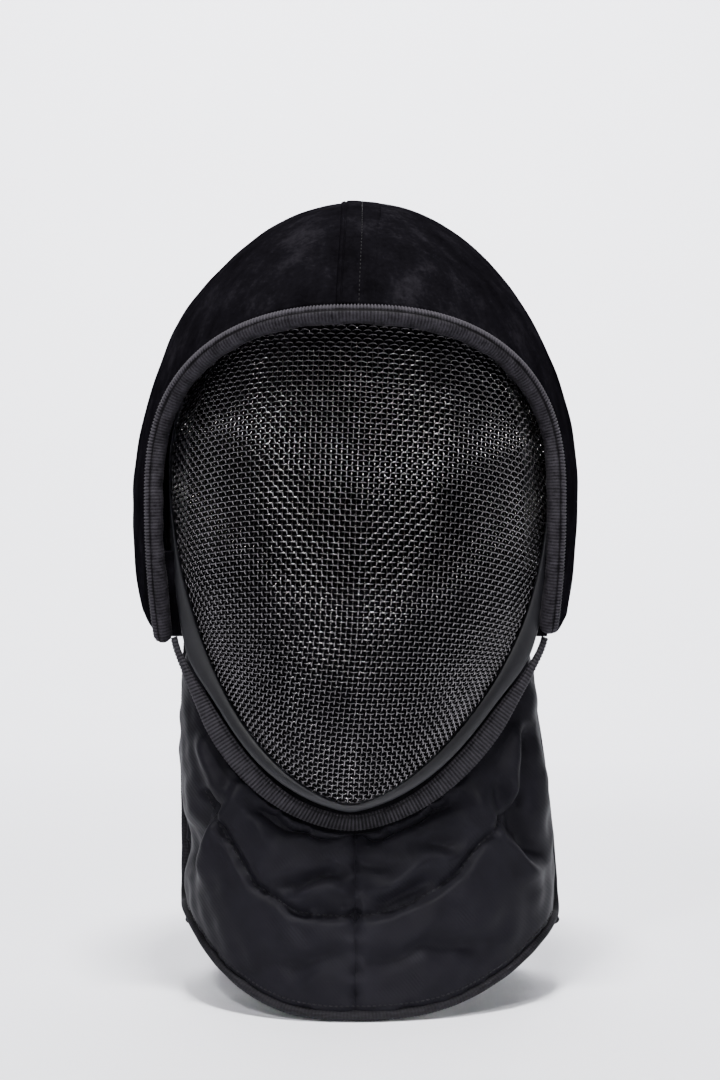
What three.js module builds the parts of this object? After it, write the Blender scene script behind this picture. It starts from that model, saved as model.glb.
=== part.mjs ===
// A fencing mask with a wire face, a suede hood over the head and a padded bib round the neck.
// Millimetres. +X is the onlooker's right, -Y is where the face looks, +Z is up.
// The origin is on the ground, under the middle of the mask, which stands on its hems.
import * as THREE from 'three';
import { mergeVertices } from 'three/addons/utils/BufferGeometryUtils.js';

const GAP = 0.4;            // air left between neighbouring pieces
const FRONT = -145;         // Y of the foremost point of the wire face

// Wire face: a bulge whose outline is widest at eye level and narrows to the chin.
const FACE = {
  chinZ: 119, wideZ: 302, topZ: 420, halfWidth: 106,
  chinDepth: 47.4, rimDepth: 81, nosePlaneZ: 250,
  creaseShare: 0.39, sidePower: 3.4, creaseSoft: 3,
  upperCurve: 0.002014, browZ: 360, browCurve: 0.0064, lowerPower: 2.3, wall: 2,
  chinDrift: -2.6, cheekDrift: 2.6, driftToZ: 230, edgeLean: 1.6, edgeLeanFrom: 20,
};

// Hood: an egg-shaped dome with walls that tuck in a little towards its lower edge.
const HOOD = {
  middleY: 5, middleZ: 285, halfWidth: 131.5, forward: 162, backward: 140, rise: 178,
  bottomZ: 222, tuck: 0.05, wall: 3, leanRight: 2, leanFromZ: 385, leanToZ: 450, pinch: 0.03,
  underTrim: 7, sidePower: 1.2, seamFrom: 0.8,
};

// Front opening of the hood, as seen from the front: a squarish arch on straight cheeks.
const OPENING = {
  halfWidth: 112.5, archZ: 290, rise: 95.4, power: 2.5, archLength: 135, cheekMargin: 0.42,
};
const TRIM = { radius: 5.4, leftEndZ: 207, rightEndZ: 213 };

// Metal strip round the wire face, broadest under the cheeks of the hood.
const RIM = {
  chinWidth: 4.8, cheekWidth: 8, upperWidth: 2.4, depth: 8, groove: 1.2, proud: 1.6, round: 0.9,
  flare: 3.6, flareAngle: 57, flareSpan: 7,
};

// Steel shell that carries the hood behind the face.
const CAGE = {
  frontDepth: 90.5, backDepth: 212, lowZ: 246, archZ: 302, wall: 2,
  halfWidth: 99, topZ: 420, swellOut: 11, swellUp: 20, swellFrom: 0.12, swellTo: 0.84,
};

// Ribbed tape over the joint of bib and strip; its ends lie under the cheeks of the hood.
const BAND = {
  endAngle: 57, thick: 2.2, chinIn: 6.6, chinOut: 15.6, cheekIn: 9.6, cheekOut: 19,
  evenFrom: 26, behindRim: 2.5, turnBack: 3.5,
};

// Padded bib: hangs from the band, round the front of the neck, to a tongue-shaped hem.
const BIB = {
  middleY: 0, halfWidth: 110, forward: 104, bandAngle: 80, bandShare: 60, wall: 8, behindRim: 9.5,
  leftRise: 50, rightRise: 43, hemPower: 2.7, cornerAngle: 82, cornerRadius: 22, rearClear: 0.8,
  puff: 9, sidePuff: 0.2, sideShift: 9, shiftFromZ: 210, tuckFrom: 30, tuckTo: 58, tuckBack: 4,
  backTopAngle: 94, backTopX: 98, backTopY: 9, backTopZ: 232, bindingHigh: 6, bindingThick: 10.5,
};

// Padded flap at the back of the neck, its front edges beside those of the bib.
const FLAP = {
  middleY: 4, startAngle: 97, halfWidthTop: 99, halfWidthLow: 112, backward: 114,
  topZ: 234, wall: 6, frontRise: 34, levelAngle: 142, sideShift: 1.5, bindingThick: 8.5,
};

const rad = THREE.MathUtils.degToRad;
const lerp = THREE.MathUtils.lerp;
const smooth = THREE.MathUtils.smoothstep;
const vec = (x, y, z) => new THREE.Vector3(x, y, z);

// A closed body through a row of rings. A ring holds two lists of points of equal length, the
// outer side and the inner side of a wall. Rings may shrink to a point where a wall ends.
function loft(rings, isLoop = false) {
  const wide = rings[0].outer.length;
  const loopOf = (ring) => [...ring.outer, ...[...ring.inner].reverse()];
  const around = wide * 2;
  const positions = rings.flatMap(loopOf).flatMap((p) => [p.x, p.y, p.z]);
  const triangles = [];
  const quad = (a, b, c, d) => triangles.push(a, b, c, a, c, d);
  const spans = isLoop ? rings.length : rings.length - 1;
  for (let k = 0; k < spans; k += 1) {
    const here = k * around;
    const next = ((k + 1) % rings.length) * around;
    for (let i = 0; i < around; i += 1) {
      const j = (i + 1) % around;
      quad(here + i, here + j, next + j, next + i);
    }
  }
  if (!isLoop) {
    const last = (rings.length - 1) * around;
    for (let i = 0; i < wide - 1; i += 1) {
      quad(i, around - 1 - i, around - 2 - i, i + 1);
      quad(last + i, last + i + 1, last + around - 2 - i, last + around - 1 - i);
    }
  }
  return closedGeometry(positions, triangles);
}

// Joins equal points, drops triangles that have no area and turns the faces outward.
function closedGeometry(positions, triangles) {
  const raw = new THREE.BufferGeometry();
  raw.setAttribute('position', new THREE.Float32BufferAttribute(positions, 3));
  raw.setIndex(triangles);
  const joined = mergeVertices(raw, 1e-3);
  const index = [];
  const given = joined.index.array;
  for (let i = 0; i < given.length; i += 3) {
    const [a, b, c] = [given[i], given[i + 1], given[i + 2]];
    if (a !== b && b !== c && c !== a) index.push(a, b, c);
  }
  if (signedVolume(joined.attributes.position, index) < 0) index.reverse();
  joined.setIndex(index);
  joined.computeVertexNormals();
  return joined;
}

function signedVolume(position, index) {
  let sum = 0;
  const [a, b, c] = [vec(), vec(), vec()];
  for (let i = 0; i < index.length; i += 3) {
    a.fromBufferAttribute(position, index[i]);
    b.fromBufferAttribute(position, index[i + 1]);
    c.fromBufferAttribute(position, index[i + 2]);
    sum += a.dot(b.cross(c));
  }
  return sum;
}

// Wall between a surface and its copy moved inward along the surface's normal.
function wallRings(point, columns, rows, wall) {
  const rings = [];
  const step = 1e-3;
  for (let k = 0; k <= columns; k += 1) {
    const outer = [];
    const inner = [];
    for (let j = 0; j <= rows; j += 1) {
      const [u, v] = [k / columns, j / rows];
      const [u0, u1] = [Math.max(0, u - step), Math.min(1, u + step)];
      const [v0, v1] = [Math.max(0, v - step), Math.min(1, v + step)];
      const alongU = point(u1, v).sub(point(u0, v));
      const alongV = point(u, v1).sub(point(u, v0));
      const normal = alongU.cross(alongV).normalize();
      const here = point(u, v);
      outer.push(here);
      inner.push(here.clone().addScaledVector(normal, -wall));
    }
    rings.push({ outer, inner });
  }
  return rings;
}

// Outline of the wire face: angle 0 is the chin, 90 the widest level, 180 the top.
function outline(angle) {
  const s = Math.sin(rad(angle));
  const c = Math.cos(rad(angle));
  if (angle <= 90) {
    const z = FACE.chinZ + (FACE.wideZ - FACE.chinZ) * (1 - c);
    return { x: FACE.halfWidth * s ** 1.25, z };
  }
  return { x: FACE.halfWidth * s, z: FACE.wideZ - (FACE.topZ - FACE.wideZ) * c };
}

// The face sits a little askew: its chin points left and its cheeks lie to the right.
function drift(z) {
  return lerp(FACE.chinDrift, FACE.cheekDrift, smooth(z, FACE.chinZ, FACE.driftToZ));
}

function rimY(z) {
  const t = THREE.MathUtils.clamp((z - FACE.chinZ) / (FACE.wideZ - FACE.chinZ), 0, 1);
  const deepen = 1 - (1 - t) ** 3;
  return FRONT + lerp(FACE.chinDepth, FACE.rimDepth, deepen);
}

function creaseY(z) {
  const above = z - FACE.nosePlaneZ;
  if (above < 0) {
    const drop = FACE.nosePlaneZ - FACE.chinZ;
    return FRONT + FACE.chinDepth * (-above / drop) ** FACE.lowerPower;
  }
  const brow = Math.max(0, z - FACE.browZ);
  return FRONT + FACE.upperCurve * above ** 2 + FACE.browCurve * brow ** 2;
}

// Depth grows in a straight slope from the centre crease and steepens towards the sides.
function faceY(share, z) {
  const soft = FACE.creaseSoft / FACE.halfWidth;
  const slope = (Math.hypot(share, soft) - soft) / (Math.hypot(1, soft) - soft);
  const curve = Math.abs(share) ** FACE.sidePower;
  const deep = FACE.creaseShare * slope + (1 - FACE.creaseShare) * curve;
  return lerp(creaseY(z), rimY(z), deep);
}

function faceMesh() {
  const columns = 18;
  const rows = 20;
  const rings = [];
  for (let k = 0; k <= rows; k += 1) {
    const edge = outline((180 * k) / rows);
    const isTip = k === 0 || k === rows;
    const outer = [];
    const inner = [];
    for (let j = 0; j <= columns; j += 1) {
      const share = isTip ? 0 : (2 * j) / columns - 1;
      const p = vec(edge.x * share + drift(edge.z), faceY(share, edge.z), edge.z);
      const sideways = FACE.edgeLean * share ** 3 * Math.min(1, edge.x / FACE.edgeLeanFrom);
      outer.push(p);
      inner.push(vec(p.x - sideways, p.y + FACE.wall, p.z));
    }
    rings.push({ outer, inner });
  }
  return loft(rings);
}

// Point at a distance outside the outline of the face, seen from the front.
function besideOutline(angle, distance) {
  const before = outline(Math.max(0.2, angle - 0.5));
  const after = outline(Math.min(179.8, angle + 0.5));
  const here = outline(angle);
  const [dx, dz] = [after.x - before.x, after.z - before.z];
  const length = Math.hypot(dx, dz);
  const isPole = angle < 0.3 || angle > 179.7;
  const out = isPole ? { x: 0, z: angle < 90 ? -1 : 1 } : { x: dz / length, z: -dx / length };
  return { x: here.x + out.x * distance, z: here.z + out.z * distance };
}

function rimFlare(angle) {
  return RIM.flare * Math.exp(-(((angle - RIM.flareAngle) / RIM.flareSpan) ** 2));
}

function rimWidth(angle) {
  const toCheek = lerp(RIM.chinWidth, RIM.cheekWidth, smooth(angle, 5, 35));
  return lerp(toCheek, RIM.upperWidth, smooth(angle, 62, 84)) + rimFlare(angle);
}

// Around the face once: the left half is the right half mirrored.
function frameRim() {
  const halfSteps = 28;
  const rings = [];
  for (let k = 0; k < halfSteps * 2; k += 1) {
    const isLeft = k > halfSteps;
    const turn = (180 * (isLeft ? halfSteps * 2 - k : k)) / halfSteps;
    const side = isLeft ? -1 : 1;
    const wide = rimWidth(turn);
    const at = (out, back) => {
      const p = besideOutline(turn, out);
      const { z } = outline(turn);
      return vec(p.x * side + drift(z), rimY(z) + back, p.z);
    };
    // rounded edges in front and behind, the front proud beside the groove
    const { groove, proud, round, depth } = RIM;
    const far = wide - round;
    const outer = [at(GAP, -proud / 4), at(groove, -proud), at(far, -proud / 3), at(wide, proud)];
    const inner = [at(GAP, depth - round), at(groove, depth), at(far, depth), at(wide, depth - round)];
    rings.push({ outer, inner });
  }
  return loft(rings, true);
}

// Arch of the cage at a share of its depth, v running over the head from left to right.
function cagePoint(u, v) {
  const swell = Math.sin(Math.PI * lerp(CAGE.swellFrom, CAGE.swellTo, u));
  const halfWidth = CAGE.halfWidth + CAGE.swellOut * swell;
  const topZ = CAGE.topZ + CAGE.swellUp * swell;
  const y = FRONT + lerp(CAGE.frontDepth, CAGE.backDepth, u);
  const straight = CAGE.archZ - CAGE.lowZ;
  const rise = topZ - CAGE.archZ;
  const arc = (Math.PI / 4) * (halfWidth + rise);
  const along = v * 2 * (straight + arc);
  const isRight = along > straight + arc;
  const near = isRight ? 2 * (straight + arc) - along : along;
  const side = isRight ? 1 : -1;
  if (near < straight) return vec(side * halfWidth, y, CAGE.lowZ + near);
  const turn = ((near - straight) / arc) * (Math.PI / 2);
  return vec(side * halfWidth * Math.cos(turn), y, CAGE.archZ + rise * Math.sin(turn));
}

function crownCage() {
  return loft(wallRings(cagePoint, 5, 26, CAGE.wall));
}

// Size of the hood's level cut at height z, as a share of its widest cut.
function hoodShare(z) {
  if (z >= HOOD.middleZ) return Math.sqrt(Math.max(0, 1 - ((z - HOOD.middleZ) / HOOD.rise) ** 2));
  const t = (HOOD.middleZ - z) / (HOOD.middleZ - HOOD.bottomZ);
  return 1 - HOOD.tuck * t * t;
}

function hoodLean(z) {
  return HOOD.leanRight * smooth(z, HOOD.leanFromZ, HOOD.leanToZ);
}

// The crown is a little narrower than the ellipse.
function hoodPinch(z) {
  return 1 - HOOD.pinch * smooth(z, HOOD.leanFromZ, HOOD.leanToZ);
}

// Y of the hood's front half at a place seen from the front.
function hoodFrontY(x, z) {
  const share = hoodShare(z);
  return HOOD.middleY - HOOD.forward * Math.sqrt(Math.max(0, share ** 2 - (x / HOOD.halfWidth) ** 2));
}

// Opening of the hood: v 0 is the cheek's lower end, 1 the top; widened by a margin.
function openingPoint(v, margin, endZ) {
  const cheek = OPENING.archZ - endZ;
  const along = v * (cheek + OPENING.archLength);
  const halfWidth = OPENING.halfWidth + margin * OPENING.cheekMargin;
  if (along < cheek) {
    const z = endZ + along;
    const tucked = Math.min(1, hoodShare(z) / hoodShare(OPENING.archZ));
    return { x: lerp(halfWidth, halfWidth * tucked, 0.5), z };
  }
  const turn = ((along - cheek) / OPENING.archLength) * (Math.PI / 2);
  const x = halfWidth * Math.cos(turn) ** (2 / OPENING.power);
  const rise = OPENING.rise + margin;
  return { x, z: OPENING.archZ + rise * Math.sin(turn) ** (2 / OPENING.power) };
}

// Half of the hood. u runs from the opening to the middle of the back, v from the lower edge
// to the crown; the crown is one point of the back part.
function hoodPoint(side, u, v) {
  const edge = openingPoint(v, HOOD.underTrim, HOOD.bottomZ);
  const climb = Math.sin((v * Math.PI) / 2) ** HOOD.sidePower;
  const archZ = lerp(HOOD.bottomZ, HOOD.middleZ + HOOD.rise, climb);
  const archX = HOOD.halfWidth * hoodShare(archZ);
  if (u <= 0.5) {
    const t = 1 - (1 - u * 2) ** 2;
    const x = lerp(edge.x, archX, t);
    const z = lerp(edge.z, archZ, t);
    return vec(side * x * hoodPinch(z) + hoodLean(z), hoodFrontY(x, z), z);
  }
  const swing = (u - 0.5) * Math.PI;
  const y = HOOD.middleY + HOOD.backward * hoodShare(archZ) * Math.sin(swing);
  const x = archX * hoodPinch(archZ) * Math.cos(swing);
  return vec(side * x + hoodLean(archZ), y, archZ);
}

// Outward direction of the hood's surface.
function hoodNormal(p) {
  const depth = p.y < HOOD.middleY ? HOOD.forward : HOOD.backward;
  const x = p.x - hoodLean(p.z);
  const drop = HOOD.middleZ - HOOD.bottomZ;
  const isUpper = p.z >= HOOD.middleZ;
  const up = (p.z - HOOD.middleZ) / (isUpper ? HOOD.rise ** 2 : drop ** 2 / (2 * HOOD.tuck));
  return vec(x / HOOD.halfWidth ** 2, (p.y - HOOD.middleY) / depth ** 2, up).normalize();
}

function hoodHalf(side) {
  const columns = 17;
  const rows = 15;
  const rings = [];
  for (let k = 0; k <= columns; k += 1) {
    const outer = [];
    const inner = [];
    for (let j = 0; j <= rows; j += 1) {
      const p = hoodPoint(side, k / columns, j / rows);
      p.x -= side * GAP * 0.5 * smooth(j / rows, HOOD.seamFrom, 1);
      if (k === columns) p.x = hoodLean(p.z) + side * GAP * 0.5;
      if (j === rows) p.x = hoodLean(p.z) + side * GAP * 0.5;
      const within = p.clone().addScaledVector(hoodNormal(p), -HOOD.wall);
      if (k === columns || j === rows) within.x = p.x;
      outer.push(p);
      inner.push(within);
    }
    rings.push({ outer, inner });
  }
  return loft(rings);
}

// Padded roll round the hood's opening, from cheek to cheek over the brow.
function hoodTrim() {
  const points = [];
  const steps = 19;
  for (let k = 0; k <= steps; k += 1) {
    const p = openingPoint(k / steps, 0, TRIM.leftEndZ);
    points.push(vec(-p.x, hoodFrontY(p.x, p.z), p.z));
  }
  for (let k = steps - 1; k >= 0; k -= 1) {
    const p = openingPoint(k / steps, 0, TRIM.rightEndZ);
    points.push(vec(p.x, hoodFrontY(p.x, p.z), p.z));
  }
  return roll(points, points.map(hoodNormal), 10, TRIM.radius, TRIM.radius);
}

// A rounded roll along a path: thick is its half size along the given outward directions,
// high its half size across them.
function roll(points, outwards, sides, thick, high) {
  const rings = points.map((p, k) => {
    const ahead = points[Math.min(points.length - 1, k + 1)];
    const behind = points[Math.max(0, k - 1)];
    const along = ahead.clone().sub(behind).normalize();
    const beside = along.clone().cross(outwards[k]).normalize();
    const out = beside.clone().cross(along).normalize();
    const ring = [];
    for (let i = 0; i < sides; i += 1) {
      const turn = (Math.PI * 2 * (i + 0.5)) / sides;
      const place = p.clone().addScaledVector(out, thick * Math.cos(turn));
      ring.push(place.addScaledVector(beside, high * Math.sin(turn)));
    }
    return { outer: ring.slice(0, sides / 2), inner: ring.slice(sides / 2).reverse() };
  });
  return loft(rings);
}

// Distance of the band's two edges from the outline of the face.
function bandEdges(angle) {
  const t = smooth(angle, 0, BAND.evenFrom);
  return [lerp(BAND.chinIn, BAND.cheekIn, t), lerp(BAND.chinOut, BAND.cheekOut, t)];
}

function bibBand() {
  const halfSteps = 18;
  const rings = [];
  for (let k = -halfSteps; k <= halfSteps; k += 1) {
    const side = k < 0 ? -1 : 1;
    const turn = (BAND.endAngle * Math.abs(k)) / halfSteps;
    const [near, far] = bandEdges(turn);
    const { z } = outline(turn);
    const at = (share, back) => {
      const p = besideOutline(turn, lerp(near, far, share) + rimFlare(turn));
      const behind = BAND.behindRim + BAND.turnBack * share ** 2 + back;
      return vec(p.x * side + drift(z), rimY(z) + behind, p.z);
    };
    const outer = [0, 0.33, 0.67, 1].map((share) => at(share, 0));
    const inner = [0, 0.33, 0.67, 1].map((share) => at(share, BAND.thick));
    rings.push({ outer, inner });
  }
  return loft(rings);
}

// Sideways drift of the lower parts of the bib and the flap, which hang a little to the right.
function hangShift(z) {
  return BIB.sideShift * Math.max(0, 1 - (z / BIB.shiftFromZ) ** 2);
}

// Level direction away from the middle of the neck, at a plan angle that starts in front.
function outwardAt(angle) {
  return vec(Math.sin(rad(angle)), -Math.cos(rad(angle)), 0);
}

// Upper edge of the bib at a plan angle: along the band, then back and up under the hood.
function bibTop(side, angle) {
  const q = Math.min(1, angle / BIB.bandAngle);
  const turn = BIB.bandShare * (1.3 * q - 0.3 * q * q);
  const [near, far] = bandEdges(turn);
  const tucked = smooth(turn, BIB.tuckFrom, BIB.tuckTo);
  const p = besideOutline(turn, lerp(far + GAP, near, tucked));
  const y = rimY(outline(turn).z) + BIB.behindRim + BIB.tuckBack * tucked;
  const past = Math.max(0, angle - BIB.bandAngle) / (BIB.backTopAngle - BIB.bandAngle);
  const x = side * p.x + drift(p.z);
  return vec(
    lerp(x, side * BIB.backTopX, past),
    lerp(y, BIB.backTopY, past),
    lerp(p.z, BIB.backTopZ, past),
  );
}

// Height of a line that runs inside the hem at an even distance: a shallow U in front, then a
// round corner that ends upright.
function hemHeight(side, angle, inset) {
  const high = side < 0 ? BIB.leftRise : BIB.rightRise;
  const rise = (at) => high * Math.abs(Math.sin(rad(at))) ** BIB.hemPower;
  if (angle <= BIB.cornerAngle) {
    const slope = (rise(angle + 0.5) - rise(angle - 0.5)) / (BIB.halfWidth * rad(1));
    return rise(angle) + inset * Math.hypot(1, slope);
  }
  const past = rad(angle - BIB.cornerAngle) * BIB.halfWidth;
  const radius = BIB.cornerRadius - inset;
  const middle = rise(BIB.cornerAngle) + BIB.cornerRadius;
  return middle - Math.sqrt(Math.max(0, radius ** 2 - past ** 2));
}

function bibEndAngle(inset) {
  return BIB.cornerAngle + THREE.MathUtils.radToDeg((BIB.cornerRadius - inset) / BIB.halfWidth);
}

// Outer face of the bib: v runs from the band to the line inside the hem.
function bibPoint(side, angle, v, inset) {
  const outward = outwardAt(side * angle);
  const hem = outward.clone().multiply(vec(BIB.halfWidth, BIB.forward, 1));
  hem.y += BIB.middleY;
  hem.z = hemHeight(side, angle, inset);
  const puff = BIB.puff * Math.sin(Math.PI * v) * lerp(BIB.sidePuff, 1, Math.cos(rad(angle)));
  const p = bibTop(side, angle).lerp(hem, v).addScaledVector(outward, puff);
  p.x += hangShift(p.z) * Math.sin(rad(angle)) ** 2 * Math.sin((v * Math.PI) / 2);
  return p;
}

// Half of the bib, from the centre seam to the rear edge.
function bibPanel(side) {
  const inset = BIB.bindingHigh + 3 * GAP;
  const point = (u, v) => {
    const angle = u * (bibEndAngle(inset) - BIB.rearClear);
    const p = bibPoint(side, angle, side > 0 ? 1 - v : v, inset);
    p.x = side * Math.max(GAP * 0.5, side * p.x);
    return p;
  };
  const rings = wallRings(point, 16, 9, BIB.wall);
  rings[0].inner.forEach((p) => {
    p.x = side * GAP * 0.5;
  });
  return loft(rings);
}

// Folded tape up one rear edge of the bib, along the hem and up the other, in one run.
function bibBinding() {
  const inset = BIB.bindingHigh / 2;
  const end = bibEndAngle(inset);
  const stations = [];
  for (let k = 0; k < 9; k += 1) stations.push([end, k / 9]);
  for (let k = 0; k <= 20; k += 1) stations.push([end * (1 - (k / 20) ** 1.4), 1]);
  const oneSide = (side) => stations.map(([angle, v]) => {
    const p = bibPoint(side, angle, v, inset);
    const outward = outwardAt(side * angle);
    return { p: p.addScaledVector(outward, -BIB.wall / 2), outward };
  });
  const run = [...oneSide(-1), ...oneSide(1).reverse().slice(1)];
  const [points, outwards] = [run.map((at) => at.p), run.map((at) => at.outward)];
  return roll(points, outwards, 8, BIB.bindingThick / 2, BIB.bindingHigh / 2);
}

// Plan angle of the flap, which runs from the right side round the back to the left side.
function flapAngle(u) {
  return lerp(FLAP.startAngle, 360 - FLAP.startAngle, u);
}

function flapHem(angle, inset) {
  const rise = (at) => {
    const back = Math.min(at, 360 - at);
    return FLAP.frontRise * (1 - smooth(back, FLAP.startAngle, FLAP.levelAngle));
  };
  const slope = (rise(angle + 0.5) - rise(angle - 0.5)) / (FLAP.backward * rad(1));
  return rise(angle) + inset * Math.hypot(1, slope);
}

function flapPoint(u, v, inset) {
  const angle = flapAngle(u);
  const z = lerp(FLAP.topZ, flapHem(angle, inset), v);
  const halfWidth = lerp(FLAP.halfWidthTop, FLAP.halfWidthLow, v);
  const shift = hangShift(z) * (1 + FLAP.sideShift / BIB.sideShift);
  const x = halfWidth * Math.sin(rad(angle)) + shift * Math.sin(rad(angle)) ** 2;
  return vec(x, FLAP.middleY - FLAP.backward * Math.cos(rad(angle)), z);
}

function neckFlap() {
  const point = (u, v) => flapPoint(u, 1 - v, BIB.bindingHigh + 2 * GAP);
  return loft(wallRings(point, 18, 5, FLAP.wall));
}

function flapBinding() {
  const points = [];
  const outwards = [];
  const steps = 26;
  for (let k = 0; k <= steps; k += 1) {
    const outward = outwardAt(flapAngle(k / steps));
    points.push(flapPoint(k / steps, 1, BIB.bindingHigh / 2).addScaledVector(outward, -FLAP.wall / 2));
    outwards.push(outward);
  }
  return roll(points, outwards, 8, FLAP.bindingThick / 2, BIB.bindingHigh / 2);
}

const steel = { color: 0x1c1c20, roughness: 0.35, metalness: 0.9 };
const strip = { color: 0x3a3c42, roughness: 0.4, metalness: 0.6 };
const suede = { color: 0x131314, roughness: 0.95, metalness: 0 };
const tape = { color: 0x201f22, roughness: 0.8, metalness: 0 };
const satin = { color: 0x1f1e24, roughness: 0.6, metalness: 0 };

// name, shape and look of each piece
const pieces = [
  ['face_mesh', faceMesh(), steel],
  ['frame_rim', frameRim(), strip],
  ['crown_cage', crownCage(), steel],
  ['hood_left', hoodHalf(-1), suede],
  ['hood_right', hoodHalf(1), suede],
  ['hood_trim', hoodTrim(), tape],
  ['bib_band', bibBand(), tape],
  ['bib_left', bibPanel(-1), satin],
  ['bib_right', bibPanel(1), satin],
  ['bib_binding', bibBinding(), tape],
  ['neck_flap', neckFlap(), satin],
  ['flap_binding', flapBinding(), tape],
];

const mask = new THREE.Group();
for (const [name, geometry, look] of pieces) {
  const mesh = new THREE.Mesh(geometry, new THREE.MeshStandardMaterial(look));
  mesh.name = name;
  mask.add(mesh);
}

export default mask;
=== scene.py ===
import math

import bpy
import numpy as np
from mathutils.kdtree import KDTree
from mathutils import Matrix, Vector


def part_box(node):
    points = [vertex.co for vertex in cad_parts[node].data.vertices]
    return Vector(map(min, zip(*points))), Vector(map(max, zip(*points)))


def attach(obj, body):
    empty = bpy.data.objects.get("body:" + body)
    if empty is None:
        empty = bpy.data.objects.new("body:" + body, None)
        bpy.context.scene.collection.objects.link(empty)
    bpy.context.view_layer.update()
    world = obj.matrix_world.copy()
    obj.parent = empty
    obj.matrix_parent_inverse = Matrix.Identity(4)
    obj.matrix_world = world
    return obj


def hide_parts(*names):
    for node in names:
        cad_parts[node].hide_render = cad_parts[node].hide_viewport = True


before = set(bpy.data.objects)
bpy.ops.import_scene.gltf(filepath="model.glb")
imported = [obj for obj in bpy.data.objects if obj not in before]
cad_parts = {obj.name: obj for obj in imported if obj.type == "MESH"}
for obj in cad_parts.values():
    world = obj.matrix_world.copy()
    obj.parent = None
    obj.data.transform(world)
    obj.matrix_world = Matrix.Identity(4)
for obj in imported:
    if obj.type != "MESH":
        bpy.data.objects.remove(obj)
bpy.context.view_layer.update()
mm = 0.001
print("stage: frame loaded")


# small helpers

def smooth(x, low, high):
    t = np.clip((x - low) / (high - low), 0, 1)
    return t * t * (3 - 2 * t)


def mix(a, b, t):
    return a + (b - a) * t


def unit(v):
    return v / np.maximum(np.linalg.norm(v, axis=-1, keepdims=True), 1e-9)


def ripples(points, scale, seed, count=7):
    # gentle unevenness: a few waves in seeded directions, about -1 to 1
    random = np.random.default_rng(seed)
    directions = unit(random.normal(size=(count, 3)))
    phases = random.uniform(0, 2 * math.pi, count)
    rates = 2 * math.pi / scale * random.uniform(0.7, 1.4, count)
    return np.sin(points @ directions.T * rates + phases).sum(-1) / math.sqrt(count)


def boxOf(node):
    low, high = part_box(node)
    return np.array(low) / mm, np.array(high) / mm


def quadsOf(index):
    return np.stack([index[:-1, :-1], index[:-1, 1:], index[1:, 1:], index[1:, :-1]], -1).reshape(-1, 4)


def signedVolume(points, faces):
    corners = points[faces]
    a, b, c, d = (corners[:, k] for k in range(4))
    return (np.cross(a, b) * c).sum() + (np.cross(a, c) * d).sum()


def meshObject(name, points, faces, extra=()):
    # faces are quads with outward sides; they are turned round if the body is inside out
    points = np.asarray(points).reshape(-1, 3)
    faces = np.asarray(faces)
    isInsideOut = signedVolume(points, faces) < 0
    rows = faces[:, ::-1] if isInsideOut else faces
    caps = [cap[::-1] if isInsideOut else cap for cap in extra]
    mesh = bpy.data.meshes.new(name)
    mesh.from_pydata((points * mm).tolist(), [], rows.tolist() + [list(cap) for cap in caps])
    mesh.shade_smooth()
    obj = bpy.data.objects.new(name, mesh)
    bpy.context.scene.collection.objects.link(obj)
    return obj


def shell(name, outer, inner):
    # closed body between two grids of points that share a border
    rows, columns = outer.shape[:2]
    index = np.arange(rows * columns).reshape(rows, columns)
    shift = rows * columns
    edge = np.concatenate([index[0, :], index[1:, -1], index[-1, -2::-1], index[-2:0:-1, 0]])
    ahead = np.roll(edge, -1)
    rim = np.stack([ahead, edge, edge + shift, ahead + shift], -1)
    faces = np.concatenate([quadsOf(index), quadsOf(index)[:, ::-1] + shift, rim])
    return meshObject(name, np.concatenate([outer.reshape(-1, 3), inner.reshape(-1, 3)]), faces)


def rings(name, rows, isLoop=False):
    # closed body through rings of points
    count, around = rows.shape[:2]
    index = np.arange(count * around).reshape(count, around)
    index = np.concatenate([index, index[:, :1]], 1)
    if isLoop:
        return meshObject(name, rows, quadsOf(np.concatenate([index, index[:1]], 0)))
    caps = [index[0, :-1], index[-1, :-1][::-1]]
    return meshObject(name, rows, quadsOf(index), caps)


def gridNormals(grid):
    return unit(np.cross(np.gradient(grid, axis=1), np.gradient(grid, axis=0)))


def runLength(points):
    steps = np.linalg.norm(np.diff(points, axis=0), axis=-1)
    return np.concatenate([[0], np.cumsum(steps)])


def resample(points, step, *others):
    # the same line in even steps, with lists that go along with it
    reach = runLength(points)
    even = np.linspace(0, reach[-1], max(2, int(round(reach[-1] / step)) + 1))
    lines = [np.stack([np.interp(even, reach, line[:, k]) for k in range(3)], -1)
             for line in (points, *others)]
    return even, *lines


def asMesh(obj):
    # the piece with its modifiers worked in
    graph = bpy.context.evaluated_depsgraph_get()
    mesh = bpy.data.meshes.new_from_object(obj.evaluated_get(graph))
    obj.modifiers.clear()
    obj.data = mesh
    mesh.shade_smooth()
    return obj


def coordinates(obj):
    flat = np.zeros(len(obj.data.vertices) * 3)
    obj.data.vertices.foreach_get("co", flat)
    return flat.reshape(-1, 3) / mm


def setCoordinates(obj, points):
    obj.data.vertices.foreach_set("co", (points * mm).ravel())
    obj.data.update()


def markPaintedRibLight(obj, heights):
    # keeps the painted light and shade of each point, from 0 to 1, for the tape's colour: painted highlight
    # on the rib crests and painted shade in grooves and on parts turned away
    layer = obj.data.attributes.new("rib", "FLOAT", "POINT")
    layer.data.foreach_set("value", np.asarray(heights, float).ravel())


def vertexNormals(obj):
    flat = np.zeros(len(obj.data.vertices) * 3)
    obj.data.vertex_normals.foreach_get("vector", flat)
    return flat.reshape(-1, 3)


# materials

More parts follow.
